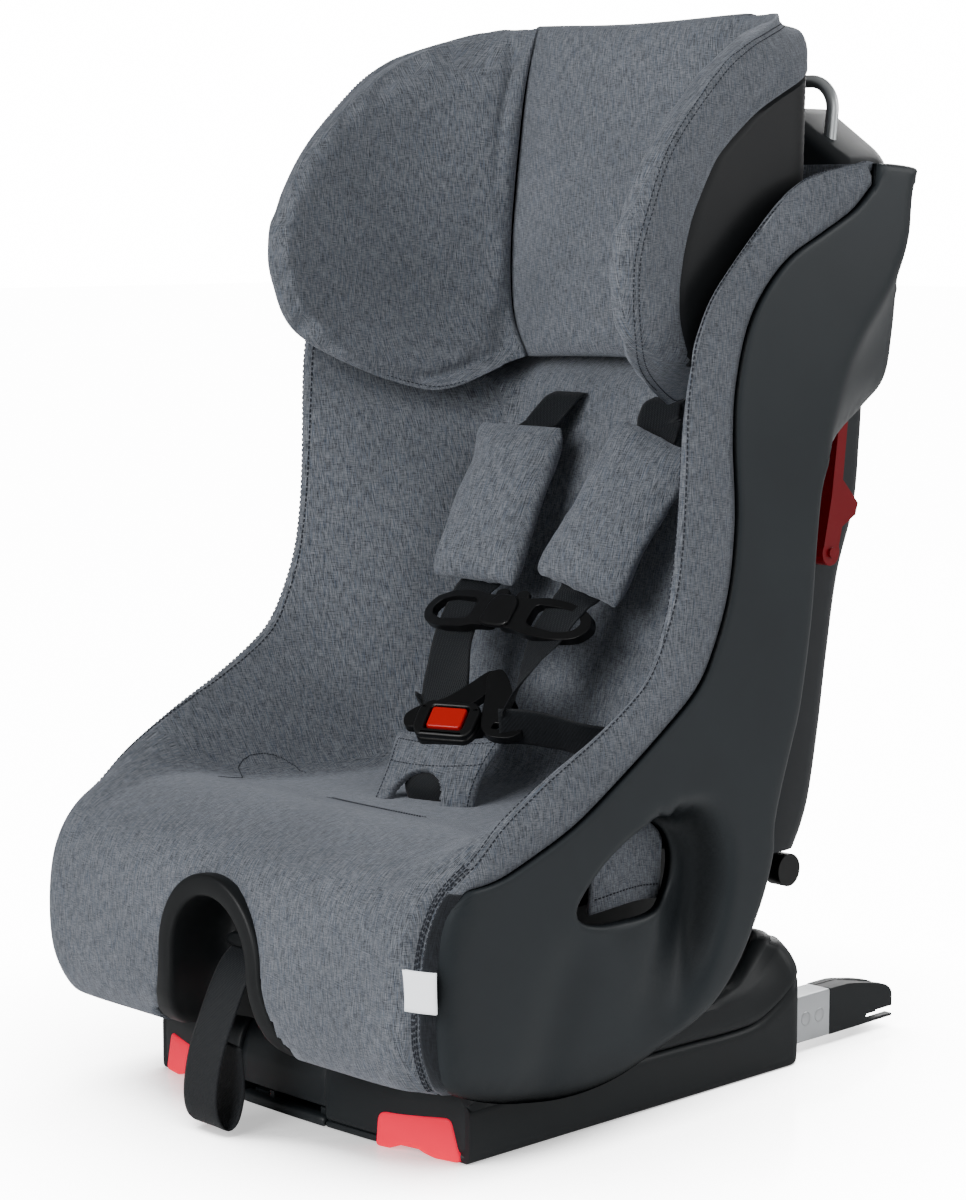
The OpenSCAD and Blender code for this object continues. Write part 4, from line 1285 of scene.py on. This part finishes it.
def padded_foot(outline, side):
    """A foot with a domed face that follows the bowed front."""
    outline = np.asarray(outline, float)
    middle = outline.mean(0)
    rings = []
    for inset, out in ((0, -40), (0, -3), (0, 0.7), (0.3, 1.3), (1.0, 1.8), (2.4, 2.1), (8, 2.4)):
        away = outline - middle
        ring = middle + away * (1 - inset / np.maximum(np.linalg.norm(away, axis=1), 1))[:, None]
        rings.append(np.column_stack([ring[:, 0] * side, bow(ring[:, 0]) - out, ring[:, 1]]))
    return lofted(rings)


def across(side, low, high):
    """The span from low to high out from the middle, on the side with this sign."""
    return sorted((side * low, side * high))


def carve(obj, boxes):
    """Cut boxes out of a closed piece and keep the result."""
    verts, faces = join_parts([box_part(low, high) for low, high in boxes])
    mesh = bpy.data.meshes.new("cutter")
    mesh.from_pydata([tuple(v) for v in verts * MM], [], faces)
    mesh.flip_normals()
    cutter = bpy.data.objects.new("cutter", mesh)
    bpy.context.scene.collection.objects.link(cutter)
    cut = obj.modifiers.new("cut", "BOOLEAN")
    cut.object = cutter
    cut.operation = "DIFFERENCE"
    cut.solver = "EXACT"
    apply_modifiers(obj)
    bpy.data.objects.remove(cutter)


def build_base_walls():
    """Upper and lower walls, the lower one open where the latch arms pass, and the floor."""
    path = base_path()
    rim = np.interp(path[:, 1], *np.array(smooth_curve(RIM_SIDE, 120)).T)
    split = np.interp(path[:, 1], *np.array(smooth_curve(PART_LINE, 120)).T)
    lean = 2.0 + 14.0 * ease((path[:, 1] - 96) / 80)
    piece("base_upper_wall", wall_part(path, split + 0.7, rim, 12, lean), BASE, "base",
          slot="base_plastic", node="base_cover")
    lower = piece("base_lower_wall", wall_part(path, np.full(len(path), 0.2), split, 14), BASE, "base",
                  slot="base_plastic")
    spans = [across(s, 126.6, 153.4) for _, s in SIDES]
    carve(lower, [((low, 160, 5.5), (high, 200, 48)) for low, high in spans])
    floor = [(x * 0.94, y if y < 170 else 172) for x, y in path[::3]]
    front_cut = [(-44, -177), (-44, -120), (44, -120), (44, -177)]
    piece("base_floor", plate(floor + front_cut, [], 2.5, 6.5, 2), BASE, "base", slot="base_plastic",
          node="base_tray")


def build_base_front():
    """The bowed front: solid at the sides, a beam over the recline handle, and the red feet."""
    whole = rounded([(0.5, 30), (0.4, 41), (-3, 52), (-11, 64), (-32, 64), (-32, 4.5), (-4, 4.5), (0.5, 8)],
                    3, 3)
    foot_end = rounded([(0.2, 6), (0.2, 1.5), (-32, 1.5), (-32, 6)], 1, 2)
    beam = rounded([(-1.5, 15), (-1.5, 36), (-6, 50), (-13, 62), (-32, 62), (-32, 56), (-18, 50), (-12, 15)],
                   3, 3)
    block = [bowed(whole, *ends) for ends in ((37, 169.6), (-169.6, -60))]
    block += [bowed(foot_end, *ends) for ends in ((37, 104), (142, 169.4), (-104, -60), (-169.4, -142))]
    block.append(bowed(beam, -60, 37))
    piece("base_front_blocks", join_parts(block), BASE, "base", 45, "base_plastic")
    pocket = extrusion([(-64, -150), (41, -150), (41, -146), (-64, -146)], 1, 62, 2)
    piece("handle_pocket", pocket, BASE, "base", slot="base_plastic", edge=(0.8,))
    foot = rounded([(90, 1), (92, 0), (104, 0.4), (108, 4.5), (137, 4.5), (142, 0.4), (163, 0.4),
                    (154.5, 31), (92, 25)], [2, 3, 4, 3, 3, 4, 4, 5, 7], 6)
    for side, s in SIDES:
        piece("front_foot_" + side, padded_foot(foot, s), RED, "base", 50, "red_plastic", "foot_" + side)


def build_recline_bar():
    """Recline handle: a broad bar below the beam, with a finger slot behind it."""
    bar = rounded([(1.0, 1.2), (1.0, 6.5), (-1, 8.4), (-9, 8.4), (-9, 1.2)], 1.6, 3)
    shelf = rounded([(-9, 1.2), (-9, 4.0), (-38, 4.0), (-38, 1.2)], 1.0, 2)
    arms = [box_part((s * 28.5 - 2.5, -187, 5), (s * 28.5 + 2.5, -124, 13)) for _, s in SIDES]
    piece("recline_bar", join_parts([bowed(bar, -59, 36.2), bowed(shelf, -59, 36.2)] + arms), BASE,
          "handle", 45, "base_plastic", "recline_handle")


build_base_walls()
build_base_front()
build_recline_bar()


# ---------------------------------------------------------------- front bezel

BUTTON_PLACE = (0, -219, 155)

def build_bezel():
    """Rounded lip and funnel of the opening round the strap adjuster."""
    count = 96
    layers = [  # radius, flare, y
        (59.5, 22, -260), (60.0, 22, -267.5), (59.6, 22, -269.3), (58.6, 22, -270.3), (57.0, 21.5, -270.7),
        (52.0, 19, -270.9), (47.5, 16, -270.8), (46.0, 15, -270.3), (45.0, 14, -269.0), (44.4, 13, -266.0),
        (43.4, 11, -256), (42.4, 7, -244), (40.5, 3, -233), (37.0, 1, -225), (31.0, 0, -220.5),
        (18.0, 0, -218.5), (2.0, 0, -218)]
    rows = []
    for radius, flare, y in layers:
        ring = arch_outline(radius, count, flare)
        foot = ARCH_FOOT - 8 if y < -255 else ARCH_FOOT - 8 + (y + 255) * 0.2
        ring[:, 1] = np.where(ring[:, 1] < ARCH_Z, ARCH_Z - (ARCH_Z - ring[:, 1])
                              * (ARCH_Z - foot) / (ARCH_Z - ARCH_FOOT), ring[:, 1])
        rows.append(np.column_stack([ring[:, 0], np.full(count, y), ring[:, 1]]))
    grid = np.array(rows)
    # the lip follows the seat front, which falls away at the bottom
    back = np.interp(grid[..., 2], [66, 70, 76, 84, 96, 112, 124], [34, 25, 16, 9.5, 4, 1, 0])
    grid[..., 1] = np.minimum(grid[..., 1] + back, np.maximum(grid[..., 1], -226))
    verts = grid.reshape(-1, 3)
    faces = grid_faces(len(rows), count)
    normals = vertex_normals(verts, faces)
    normals, faces = outward(normals, faces, normals[len(verts) // 2 + 3 * count, 1] > 0)
    # an opening for the release button in the back of the funnel
    hub = np.hypot(verts[:, 0], verts[:, 2] - BUTTON_PLACE[2])
    faces = [f for f in faces if not (verts[list(f), 1].max() < -200 and hub[list(f)].min() < 15.5
                                      and verts[list(f), 1].min() > -228)]
    piece("arch_bezel", thicken(verts, faces, 2.5, normals), BEZEL, "seat", 50, "bezel_plastic",
          "front_bezel")


def build_finger_ledge():
    """Scooped ledge over the pull strap, with the round release button above it."""
    rings = []
    for t in np.linspace(0, 1, 14):
        y = -219 - 17 * math.sin(t * math.pi / 2) ** 0.8
        half, tall = 27 * (1 - 0.45 * t ** 2.2), 7.5 * (1 - 0.55 * t ** 2)
        a = np.linspace(0, 2 * math.pi, 40, endpoint=False)
        x = np.sign(np.cos(a)) * np.abs(np.cos(a)) ** 0.6 * half
        z = 137 + np.sin(a) * tall - 0.004 * x * x + 2.5 * t
        rings.append(np.column_stack([x, np.full(40, y), z]))
    piece("strap_ledge", lofted(rings), BEZEL, "seat", 50, "bezel_plastic")
    profile = [(16.5, 0), (17.0, 3), (16.0, 5.0), (14.6, 5.4), (14.2, 3.5), (14.2, 1.0)]
    piece("button_ring", lathe_part(profile, BUTTON_PLACE, (0, -1, 0), 48), BEZEL, "seat",
          slot="bezel_plastic")
    profile = [(13.2, 0), (13.2, 9.5), (12.4, 11.0), (10.5, 11.6), (6, 10.6), (0.5, 10.0)]
    piece("release_button", lathe_part(profile, BUTTON_PLACE, (0, -1, 0), 48), BUCKLE,
          "harness_button", slot="buckle_plastic", node="harness_release")


build_bezel()
build_finger_ledge()


# ---------------------------------------------------------------- harness

def ribbon(name, path, across, width, thick, node=None):
    """A piece of webbing along a path."""
    length = np.linalg.norm(np.diff(np.asarray(path, float), axis=0), axis=1).sum()
    count = int(length / 2.5)
    if np.ndim(across) > 1:
        across = smooth_curve(across, count)
    part = strap_part(even_curve(path, count), across, width, thick)
    piece(name, part, WEBBING, "seat", None, "webbing_black", node)


def cushion_part(path, across, width, thick, rows=60, cols=41):
    """A padded sleeve: a pillow section along a path, thinner at its sewn ends."""
    path = even_curve(path, rows)
    across, up = level_across(path, across)
    a = np.linspace(0, 2 * math.pi, cols, endpoint=False)
    c, s = np.cos(a), np.sin(a)
    rings = []
    for i, p in enumerate(path):
        end = min(i, rows - 1 - i) / (rows - 1)
        fill = 0.35 + 0.65 * ease(end / 0.16) ** 0.6
        wide = width / 2 * (0.955 + 0.045 * ease(end / 0.06))
        px = np.sign(c) * np.abs(c) ** 0.42 * wide
        pz = np.sign(s) * np.abs(s) ** 0.62 * thick / 2 * fill
        rings.append(p + across[i] * px[:, None] + up[i] * pz[:, None])
    return lofted(rings)


def build_harness():
    """Webbing over the shoulders and hips, with a padded sleeve on each shoulder strap."""
    straps = {
        "left": [(-54, 153, 511), (-54, 144, 508), (-55, 136, 501), (-58, 124, 489), (-60, 112, 478),
                 (-57, 84, 428), (-52, 55, 375), (-52, 42, 362), (-51, 30, 348), (-44, 12, 326),
                 (-34, -3, 304), (-26, -13, 289), (-20, -20, 279)],
        "right": [(54, 153, 511), (54, 144, 508), (57, 136, 501), (65, 126, 491), (74, 114, 480),
                  (67, 84, 428), (57, 55, 375), (54, 42, 362), (50, 30, 348), (46, 12, 324),
                  (44, -3, 302), (43, -14, 286), (44, -22, 277)]}
    spans = {
        "left": [(1, 0, 0)] * 3 + [(1, 0.1, 0), (0.97, 0.25, 0)] + [(0.96, 0.28, 0)] * 3 + [(1, 0.05, 0)]
                + [(1, 0.2, 0.1)] * 2 + [(0.9, 0.4, 0.1)] * 2,
        "right": [(1, 0, 0)] * 3 + [(1, 0.1, -0.1), (0.97, 0.2, -0.2)] + [(0.94, 0.2, -0.25)] * 3
                 + [(1, 0.05, 0), (1, 0.0, 0.1), (0.8, -0.1, 0.5), (0.5, -0.2, 0.6), (0.4, -0.2, 0.6)]}
    pads = {"left": ([(-51, 41, 369), (-53, 55, 395), (-57, 75, 430), (-60, 96, 464), (-62, 106, 488)],
                     (0.955, 0.30, 0.02)),
            "right": ([(58, 42, 371), (63, 57, 397), (71, 76, 430), (78, 96, 462), (85, 108, 486)],
                      (0.93, 0.22, -0.28))}
    hips = {"left": [(-36, -24, 275), (-52, -8, 273), (-72, 12, 268), (-94, 36, 261), (-112, 60, 252)],
            "right": [(44, -24, 274), (58, -12, 274), (76, 4, 270), (97, 21, 263), (114, 48, 253),
                      (122, 66, 247)]}
    for side in ("left", "right"):
        ribbon("shoulder_strap_" + side, straps[side], spans[side], 38, 2.0, "harness_strap_" + side)
        ribbon("hip_strap_" + side, hips[side], (0, -0.75, 1), 34, 2.0)
        pad = piece("shoulder_pad_cover_" + side, cushion_part(*pads[side], 78, 21), FABRIC, "seat", None,
                    "fabric_grey", "shoulder_pad_" + side)
        puff(pad, voxel=3.4, cap=4.0, pressure=3.0)
    ribbon("crotch_webbing", [(-10, -38, 205), (-9, -48, 222), (-6, -48, 240), (-2, -41, 256), (0, -34, 264)],
           (0.95, 0.3, 0), 38, 2.2, "crotch_strap")


def build_pull_strap():
    """The strap that hangs from the adjuster and loops back up."""
    path = [(0, -219, 136), (0, -230, 133), (0, -241, 125), (-1, -250, 110), (-5, -258, 86), (-10, -264, 60),
            (-13, -266.5, 36), (-14, -265.5, 20), (-14, -261, 9.5), (-13, -254, 6.5), (-11, -248, 13),
            (-9, -245, 30), (-7, -247, 50), (-5, -251, 68)]
    ribbon("pull_strap", path, (1, 0, 0), 38, 2.0, "adjuster_strap")


build_harness()
build_pull_strap()


# ---------------------------------------------------------------- harness hardware

def posed(verts, tilt, turn, place):
    """Tilted back about X, turned about Z, then moved into place."""
    v = turned(verts, tilt, (0, 0, 0))
    a = math.radians(turn)
    x = v[:, 0] * math.cos(a) - v[:, 1] * math.sin(a)
    y = v[:, 0] * math.sin(a) + v[:, 1] * math.cos(a)
    return np.stack([x, y, v[:, 2]], 1) + np.asarray(place, float)


def put(name, part, pose, material, body, width, slot="buckle_plastic", node=None):
    """A hardware piece in its pose, with rounded edges."""
    piece(name, (posed(part[0], *pose), part[1]), material, body, slot=slot, node=node, edge=(width, 4, 40))


CLIP_POSE = (-43.45, 3, (-2, 31, 345))
BUCKLE_POSE = (-50, 22, (-2, -33, 274))


def build_clip():
    """Chest clip: two halves of moulded plastic with windows the straps pass through."""
    outline = rounded([(1, -15), (20, -15), (32, -18), (58, -18.5), (78, -13), (86, -1), (80, 11),
                       (60, 17), (36, 17.5), (22, 14), (1, 14)], 10, 7)
    window = rounded([(29, -9.5), (60, -11.5), (73, -6), (76, 1), (70, 8), (56, 11), (29, 10)], 6, 6)
    lip = rounded([(4, 13.5), (17, 13.5), (17, 20), (10, 23), (4, 20)], 3, 4)
    for side, s in SIDES:
        verts, faces = plate(outline, [window], -11.5, -4.0, 1)
        verts = verts * (s, 1, 1)
        verts[:, 1] += 0.0012 * verts[:, 0] ** 2          # bowed round the chest
        put("chest_clip_half_" + side, (verts, faces), CLIP_POSE, BUCKLE, "chest_clip", 2.2,
            node="chest_clip_" + side)
        verts, faces = extrusion(lip, -9.5, -5.5, 1)
        put("chest_clip_lip_" + side, (verts * (s, 1, 1), faces), CLIP_POSE, BUCKLE, "chest_clip", 1.2)
    button = rounded([(-15, -13), (-8, -15.5), (8, -15.5), (15, -13), (14, 8), (8, 14.5), (-8, 14.5),
                      (-14, 8)], 4, 5)
    put("chest_clip_pad", extrusion(button, -14.0, -8.5, 1), CLIP_POSE, BUCKLE, "clip_press", 2.4,
        node="chest_clip_button")


def build_buckle():
    """Buckle with its red press, and the two tongues that fan out over it."""
    shape = rounded([(-20, -18), (20, -18), (25, -10), (26, 8), (20, 17), (-20, 17), (-26, 8), (-25, -10)],
                    8, 6)
    recess = rounded([(-15.5, -11), (15.5, -11), (15.5, 11), (-15.5, 11)], 3, 4)
    put("buckle_front", plate(shape, [recess], -4.0, 1.5, 1), BUCKLE_POSE, BUCKLE, "seat", 2.2,
        node="buckle_body")
    put("buckle_back", extrusion(shape, 1.2, 17, 1), BUCKLE_POSE, BUCKLE, "seat", 3.2)
    button = rounded([(-14.2, -9.8), (14.2, -9.8), (14.2, 9.8), (-14.2, 9.8)], 2.5, 4)
    put("buckle_press", extrusion(button, -4.4, 0.8, 1), BUCKLE_POSE, BUTTON_RED, "buckle_press", 1.6,
        "buckle_red", "buckle_button")
    left = rounded([(-36, -6), (-40, 6), (-32, 15), (-10, 26), (4, 42), (14, 55), (24, 56), (27, 46),
                    (18, 28), (0, 10), (-18, -4)], 7, 5)
    right = rounded([(16, 48), (26, 56), (35, 46), (46, 26), (60, 6), (63, -6), (55, -13), (38, -13),
                     (29, -6), (25, 8), (22, 28)], 7, 5)
    window = rounded([(37, -5), (54, -5), (55, 1), (38, 1)], 1.5, 3)
    parts = [extrusion(left, 3.5, 10.5, 1), plate(right, [window], -0.5, 6.5, 1)]
    put("tongue_grips", join_parts(parts), BUCKLE_POSE, BUCKLE, "seat", 2.6, node="buckle_tongues")


def build_crotch_pad():
    """Padded sleeve on the crotch strap, open in front where the strap shows."""
    n = 49
    us, vs = np.linspace(-1, 1, n), np.linspace(0, 1, n)
    across = unit(np.array([0.94, 0.33, 0.04]))
    back = unit(np.array([-0.33, 0.94, 0.35]))
    grid = []
    for v in vs:
        middle = np.array([-6 + 8 * v, -64 + 27 * v ** 1.3, 206 + 56 * v])
        bow = math.sin(math.pi * v)
        for u in us:
            wrap = 13 * u * u * (1 - 0.35 * v) - 2.5 * bow
            p = middle + across * (45 + 3 * v - 4 * bow) * u + back * wrap
            grid.append(p - (0, 0, 3.0 * u * u * (1 - v)))
    sheet = np.array(grid)
    faces = grid_faces(n, n)
    u, v = np.array([(u, v) for v in vs for u in us]).T
    arch = np.abs(u + 0.12) < 0.56 * np.sqrt(np.clip(1 - (v / 0.60) ** 2.6, 0, 1))
    keep = [f for f in faces if not all(arch[i] for i in f)]
    normals = vertex_normals(sheet, faces)
    normals, keep = outward(normals, keep, normals[600, 1] > 0)
    edge = np.minimum(1 - np.abs(u), np.minimum(v, 1 - v))
    sheet = sheet + normals * (2.4 * ease(edge / 0.12) - 1.0)[:, None]
    pad = piece("crotch_pad_sleeve", thicken(sheet, keep, 8.0, normals), FABRIC, "seat", None,
                "fabric_grey", "crotch_pad")
    soft = pad.modifiers.new("soft", "SUBSURF")
    soft.levels = soft.render_levels = 1
    surface, ups = sheet.reshape(n, n, 3), normals.reshape(n, n, 3)
    lines = [(at, slice(3, -3)) for at in (44, 31)] + [(slice(2, -4), at) for at in (3, n - 4)]
    rows = [stitch_part(surface[line], ups[line], 3.0, 2.3, lift=0.4) for line in lines]
    piece("crotch_pad_stitching", join_parts(rows), THREAD, "seat", None)


build_clip()
build_buckle()
build_crotch_pad()


# ---------------------------------------------------------------- seams, tag and belt flaps

def build_seat_seams():
    """Closed slots: two straight rows across the seat and an arch on each side."""
    tree = surface_of(bpy.data.objects["seat_cover"])
    rows = []
    for y in (-110, -114.5):
        found = []
        for x in np.linspace(-52, 52, 50):
            above = Vector((x, y + 0.0008 * x * x - 60, 280))
            place, normal, _, _ = tree.ray_cast(above, Vector((0, 0.7071, -0.7071)))
            if place is not None:
                found.append((place, normal if normal[2] - normal[1] > 0 else -normal))
        path, up = np.array([[*place, *normal] for place, normal in found]).reshape(-1, 2, 3).swapaxes(0, 1)
        rows.append(stitch_part(path, up, 2.6, 2.2, lift=0.4))
    arch = even_curve([(-150, -134, 232), (-149, -112, 241), (-148, -88, 246), (-147, -64, 241),
                       (-146, -45, 226)], 60)
    line, up = (np.array([tree.find_nearest(Vector(p))[k] for p in arch]) for k in (0, 1))
    up[up[:, 2] < 0] *= -1
    for _, s in SIDES:
        rows.append(stitch_part(line * (s, 1, 1), up * (s, 1, 1), 2.6, 2.3, lift=0.3))
    piece("seat_seam_stitching", join_parts(rows), THREAD, "seat", None)


def sheet_of(rows, cols, place):
    """Grid of place(u, v) over the unit square."""
    return np.array([place(u, v) for v in np.linspace(0, 1, rows) for u in np.linspace(0, 1, cols)])


def build_tag():
    """Blank tag sewn into the side seam: two layers of ribbon."""
    def place(u, v):
        wave = 0.5 * math.sin(3.0 * u + 2.0 * v)
        return 181 + 36 * u, -262.0 + wave + 11.0 * u * u - 1.5 * u, 131 + 28 * v

    front = sheet_of(9, 13, place)
    layers = [thicken(front + shift, grid_faces(9, 13), 0.7, np.broadcast_to([0, -1.0, 0], front.shape))
              for shift in ((0, 0, 0), (0.48, -1.2, 0))]
    piece("blank_side_tag", join_parts(layers), LABEL, "seat", None)


def build_flaps():
    """Fabric flaps behind the belt openings."""
    def place(u, v):
        return (187 - 7 * v + 2.2 * math.sin(5 * u + 1.5 * v), -75 + 75 * u + 8 * v,
                163 + 62 * v + 3 * math.sin(3 * u))

    rows, cols = 26, 30
    sheet = sheet_of(rows, cols, place)
    flap = thicken(sheet, grid_faces(rows, cols), 3.0, np.broadcast_to([1.0, 0, 0], sheet.shape))
    mirrored("belt_flap", flap, FABRIC, "seat", None, "fabric_grey")
    hem = stitch_part(sheet.reshape(rows, cols, 3)[4, 1:-1], [1.0, 0, 0], radius=0.6, lift=0.5)
    mirrored("belt_flap_stitching", hem, THREAD, "seat", None)


build_seat_seams()
build_tag()
build_flaps()


# ---------------------------------------------------------------- latch arms

def build_latches():
    """Steel arms on a cross bar, with rivets and a moulded hook body at each end."""
    arm = rounded([(62, 8.4), (239, 8.4), (239, 45.6), (62, 45.6)], 2, 3)
    parts = [extrusion(arm, *across(s, 128.4, 151.6), 0) for _, s in SIDES]
    parts.append(box_part((-129, 61, 10.5), (129, 74.5, 27.5)))
    piece("latch_arms", join_parts(parts), STEEL, "latch", slot="steel", node="latch_frame",
          edge=(1.4, 3, 40))
    dome = [(5.6, 0), (5.5, 0.15), (4.8, 0.3), (3.3, 0.42), (1.2, 0.48), (0.1, 0.5)]
    domes = [lathe_part(dome, (s * 140 + face * 11.6, y, 27), (face, 0, 0), 28)
             for _, s in SIDES for face in (1, -1) for y in (208, 224.5)]
    piece("latch_rivet_heads", join_parts(domes), STEEL, "latch", 60, "steel", "latch_rivets")
    cheek = rounded([(237, 8.3), (317, 8.8), (317, 11.2), (286, 11.0), (283, 14), (286, 17), (317, 17.2),
                     (317, 30), (310, 36), (292, 40.5), (262, 45.8), (237, 45.8)],
                    [1.5, 0.8, 0.8, 2, 3, 2, 1, 4, 4, 6, 6, 1.5], 5)
    core = [(237, 9), (248, 9), (248, 44.5), (237, 44.5)]
    roof = [(237, 42), (262, 42), (290, 38), (291, 39.6), (262, 45.4), (237, 45.4)]
    for side, s in SIDES:
        parts = [extrusion(outline, *across(s, low, high), 0) for outline, low, high in (
            (cheek, 128.1, 135.6), (cheek, 144.4, 151.9), (core, 135.6, 144.4), (roof, 135.6, 144.4))]
        piece("latch_hook_body_" + side, join_parts(parts), BASE, "latch", slot="base_plastic",
              node="latch_connector_" + side, edge=(1.0, 3, 40))


build_latches()


# ---------------------------------------------------------------- finish of the CAD parts that stay

def finish_cad():
    """Materials and rounded edges for the CAD nodes that are shown as they are."""
    looks = {
        STEEL: ("base_screws", "latch_rivets", "latch_jaw_left", "latch_jaw_right", "runners",
                "back_frame", "splitter_plate", "tether_gate", "tether_hook", "recline_pawl"),
        DARK_STEEL: ("recline_rails", "crush_cores", "headrest_guides", "harness_adjuster"),
        BASE: ("latch_guides", "seat_underbody", "latch_release_left", "latch_release_right"),
        BUCKLE: ("cross_tube", "headrest_release"),
        WEBBING: ("tether_strap",),
        LEVER_RED: ("lockoff_left", "lockoff_right"),
    }
    for material, nodes in looks.items():
        for node in nodes:
            obj = bpy.data.objects[node]
            obj.data.materials.clear()
            obj.data.materials.append(material)
            if node != "tether_strap":
                bevel(obj, 1.2 if material in (BASE, LEVER_RED) else 0.5, 3, 38, weld=True)


finish_cad()


# ---------------------------------------------------------------- studio

WORLD_LIGHT = 0.305        # soft light from all round, at the horizon
BACKDROP_LIGHT = 16.0      # what the camera sees behind the object
FLOOR_GLOW = 14.0          # what the camera sees of the floor, away from the painted contact shadows near the base
VIEW_TURN, VIEW_TILT = math.radians(45.665), math.radians(7.407)


def studio():
    """Pale glossy floor that glows to white for the camera, with painted contact shadows where ambient
    occlusion dims the glow near the base, a soft sky and five area lights.
    """
    bpy.ops.mesh.primitive_grid_add(x_subdivisions=4, y_subdivisions=4, size=40)
    floor = bpy.context.object
    floor.name = "studio_floor"
    m = Nodes("studio_floor")
    path = m.add("ShaderNodeLightPath")
    seen = path.outputs["Is Camera Ray"]
    # painted contact shadow: ambient occlusion dims the floor's glow near the base
    near = m.add("ShaderNodeAmbientOcclusion")
    near.samples = 32
    near.inputs["Distance"].default_value = 0.35
    glow = m.ramp(near.outputs["AO"], 0.25, 1.0, 0.6, FLOOR_GLOW)
    m.set(Base_Color=(0.9, 0.9, 0.9), Roughness=0.16, Specular_IOR_Level=0.6,
          Emission_Color=(1.0, 1.0, 1.0), Emission_Strength=m.times(seen, glow))
    floor.data.materials.append(m.material)
    world = bpy.data.worlds.new("studio")
    world.use_nodes = True
    tree = world.node_tree
    sky = tree.nodes["Background"]
    sky.inputs[0].default_value = (1, 1, 1, 1)
    path = tree.nodes.new("ShaderNodeLightPath")
    strength = tree.nodes.new("ShaderNodeMapRange")
    tree.links.new(path.outputs["Is Camera Ray"], strength.inputs[0])
    place = tree.nodes.new("ShaderNodeTexCoord")
    split = tree.nodes.new("ShaderNodeSeparateXYZ")
    tree.links.new(place.outputs["Generated"], split.inputs[0])
    height = tree.nodes.new("ShaderNodeMapRange")
    height.inputs[3].default_value = WORLD_LIGHT
    height.inputs[4].default_value = WORLD_LIGHT * 0.45
    tree.links.new(split.outputs[2], height.inputs[0])
    tree.links.new(height.outputs[0], strength.inputs[3])
    strength.inputs[4].default_value = BACKDROP_LIGHT
    tree.links.new(strength.outputs[0], sky.inputs[1])
    bpy.context.scene.world = world

    def area(name, place, target, size, power):
        """A rectangular light that faces its target."""
        light = bpy.data.lights.new(name, "AREA")
        light.shape = "RECTANGLE"
        light.size, light.size_y = size
        light.energy = power
        obj = bpy.data.objects.new(name, light)
        obj.location = place
        obj.rotation_euler = (Vector(target) - Vector(place)).to_track_quat("-Z", "Y").to_euler()
        bpy.context.scene.collection.objects.link(obj)

    # name, place, target, size in metres, watts
    area("key", (0.3, -3.0, 1.6), (0, 0, 0.4), (1.8, 1.6), 98)
    area("right", (2.7, -0.9, 1.5), (0, 0, 0.45), (1.4, 1.8), 16)
    area("rim", (1.9, 2.2, 1.6), (0, 0.1, 0.5), (1.0, 1.6), 26)
    area("back", (-1.3, 2.9, 1.7), (0, 0.1, 0.4), (1.6, 1.6), 60)
    area("top", (0.2, 0.2, 3.0), (0, 0, 0.4), (2.2, 2.2), 3)


def camera():
    """Three-quarter view from the front left of the seated child, a little above it."""
    back = Vector((math.sin(VIEW_TURN) * math.cos(VIEW_TILT), -math.cos(VIEW_TURN) * math.cos(VIEW_TILT),
                   math.sin(VIEW_TILT)))
    data = bpy.data.cameras.new("camera")
    data.lens = 89.43
    data.sensor_width = 36.0
    obj = bpy.data.objects.new("camera", data)
    obj.location = (1.603, -1.564, 0.654)
    obj.rotation_euler = back.to_track_quat("Z", "Y").to_euler()
    bpy.context.scene.collection.objects.link(obj)
    bpy.context.scene.camera = obj


studio()
camera()
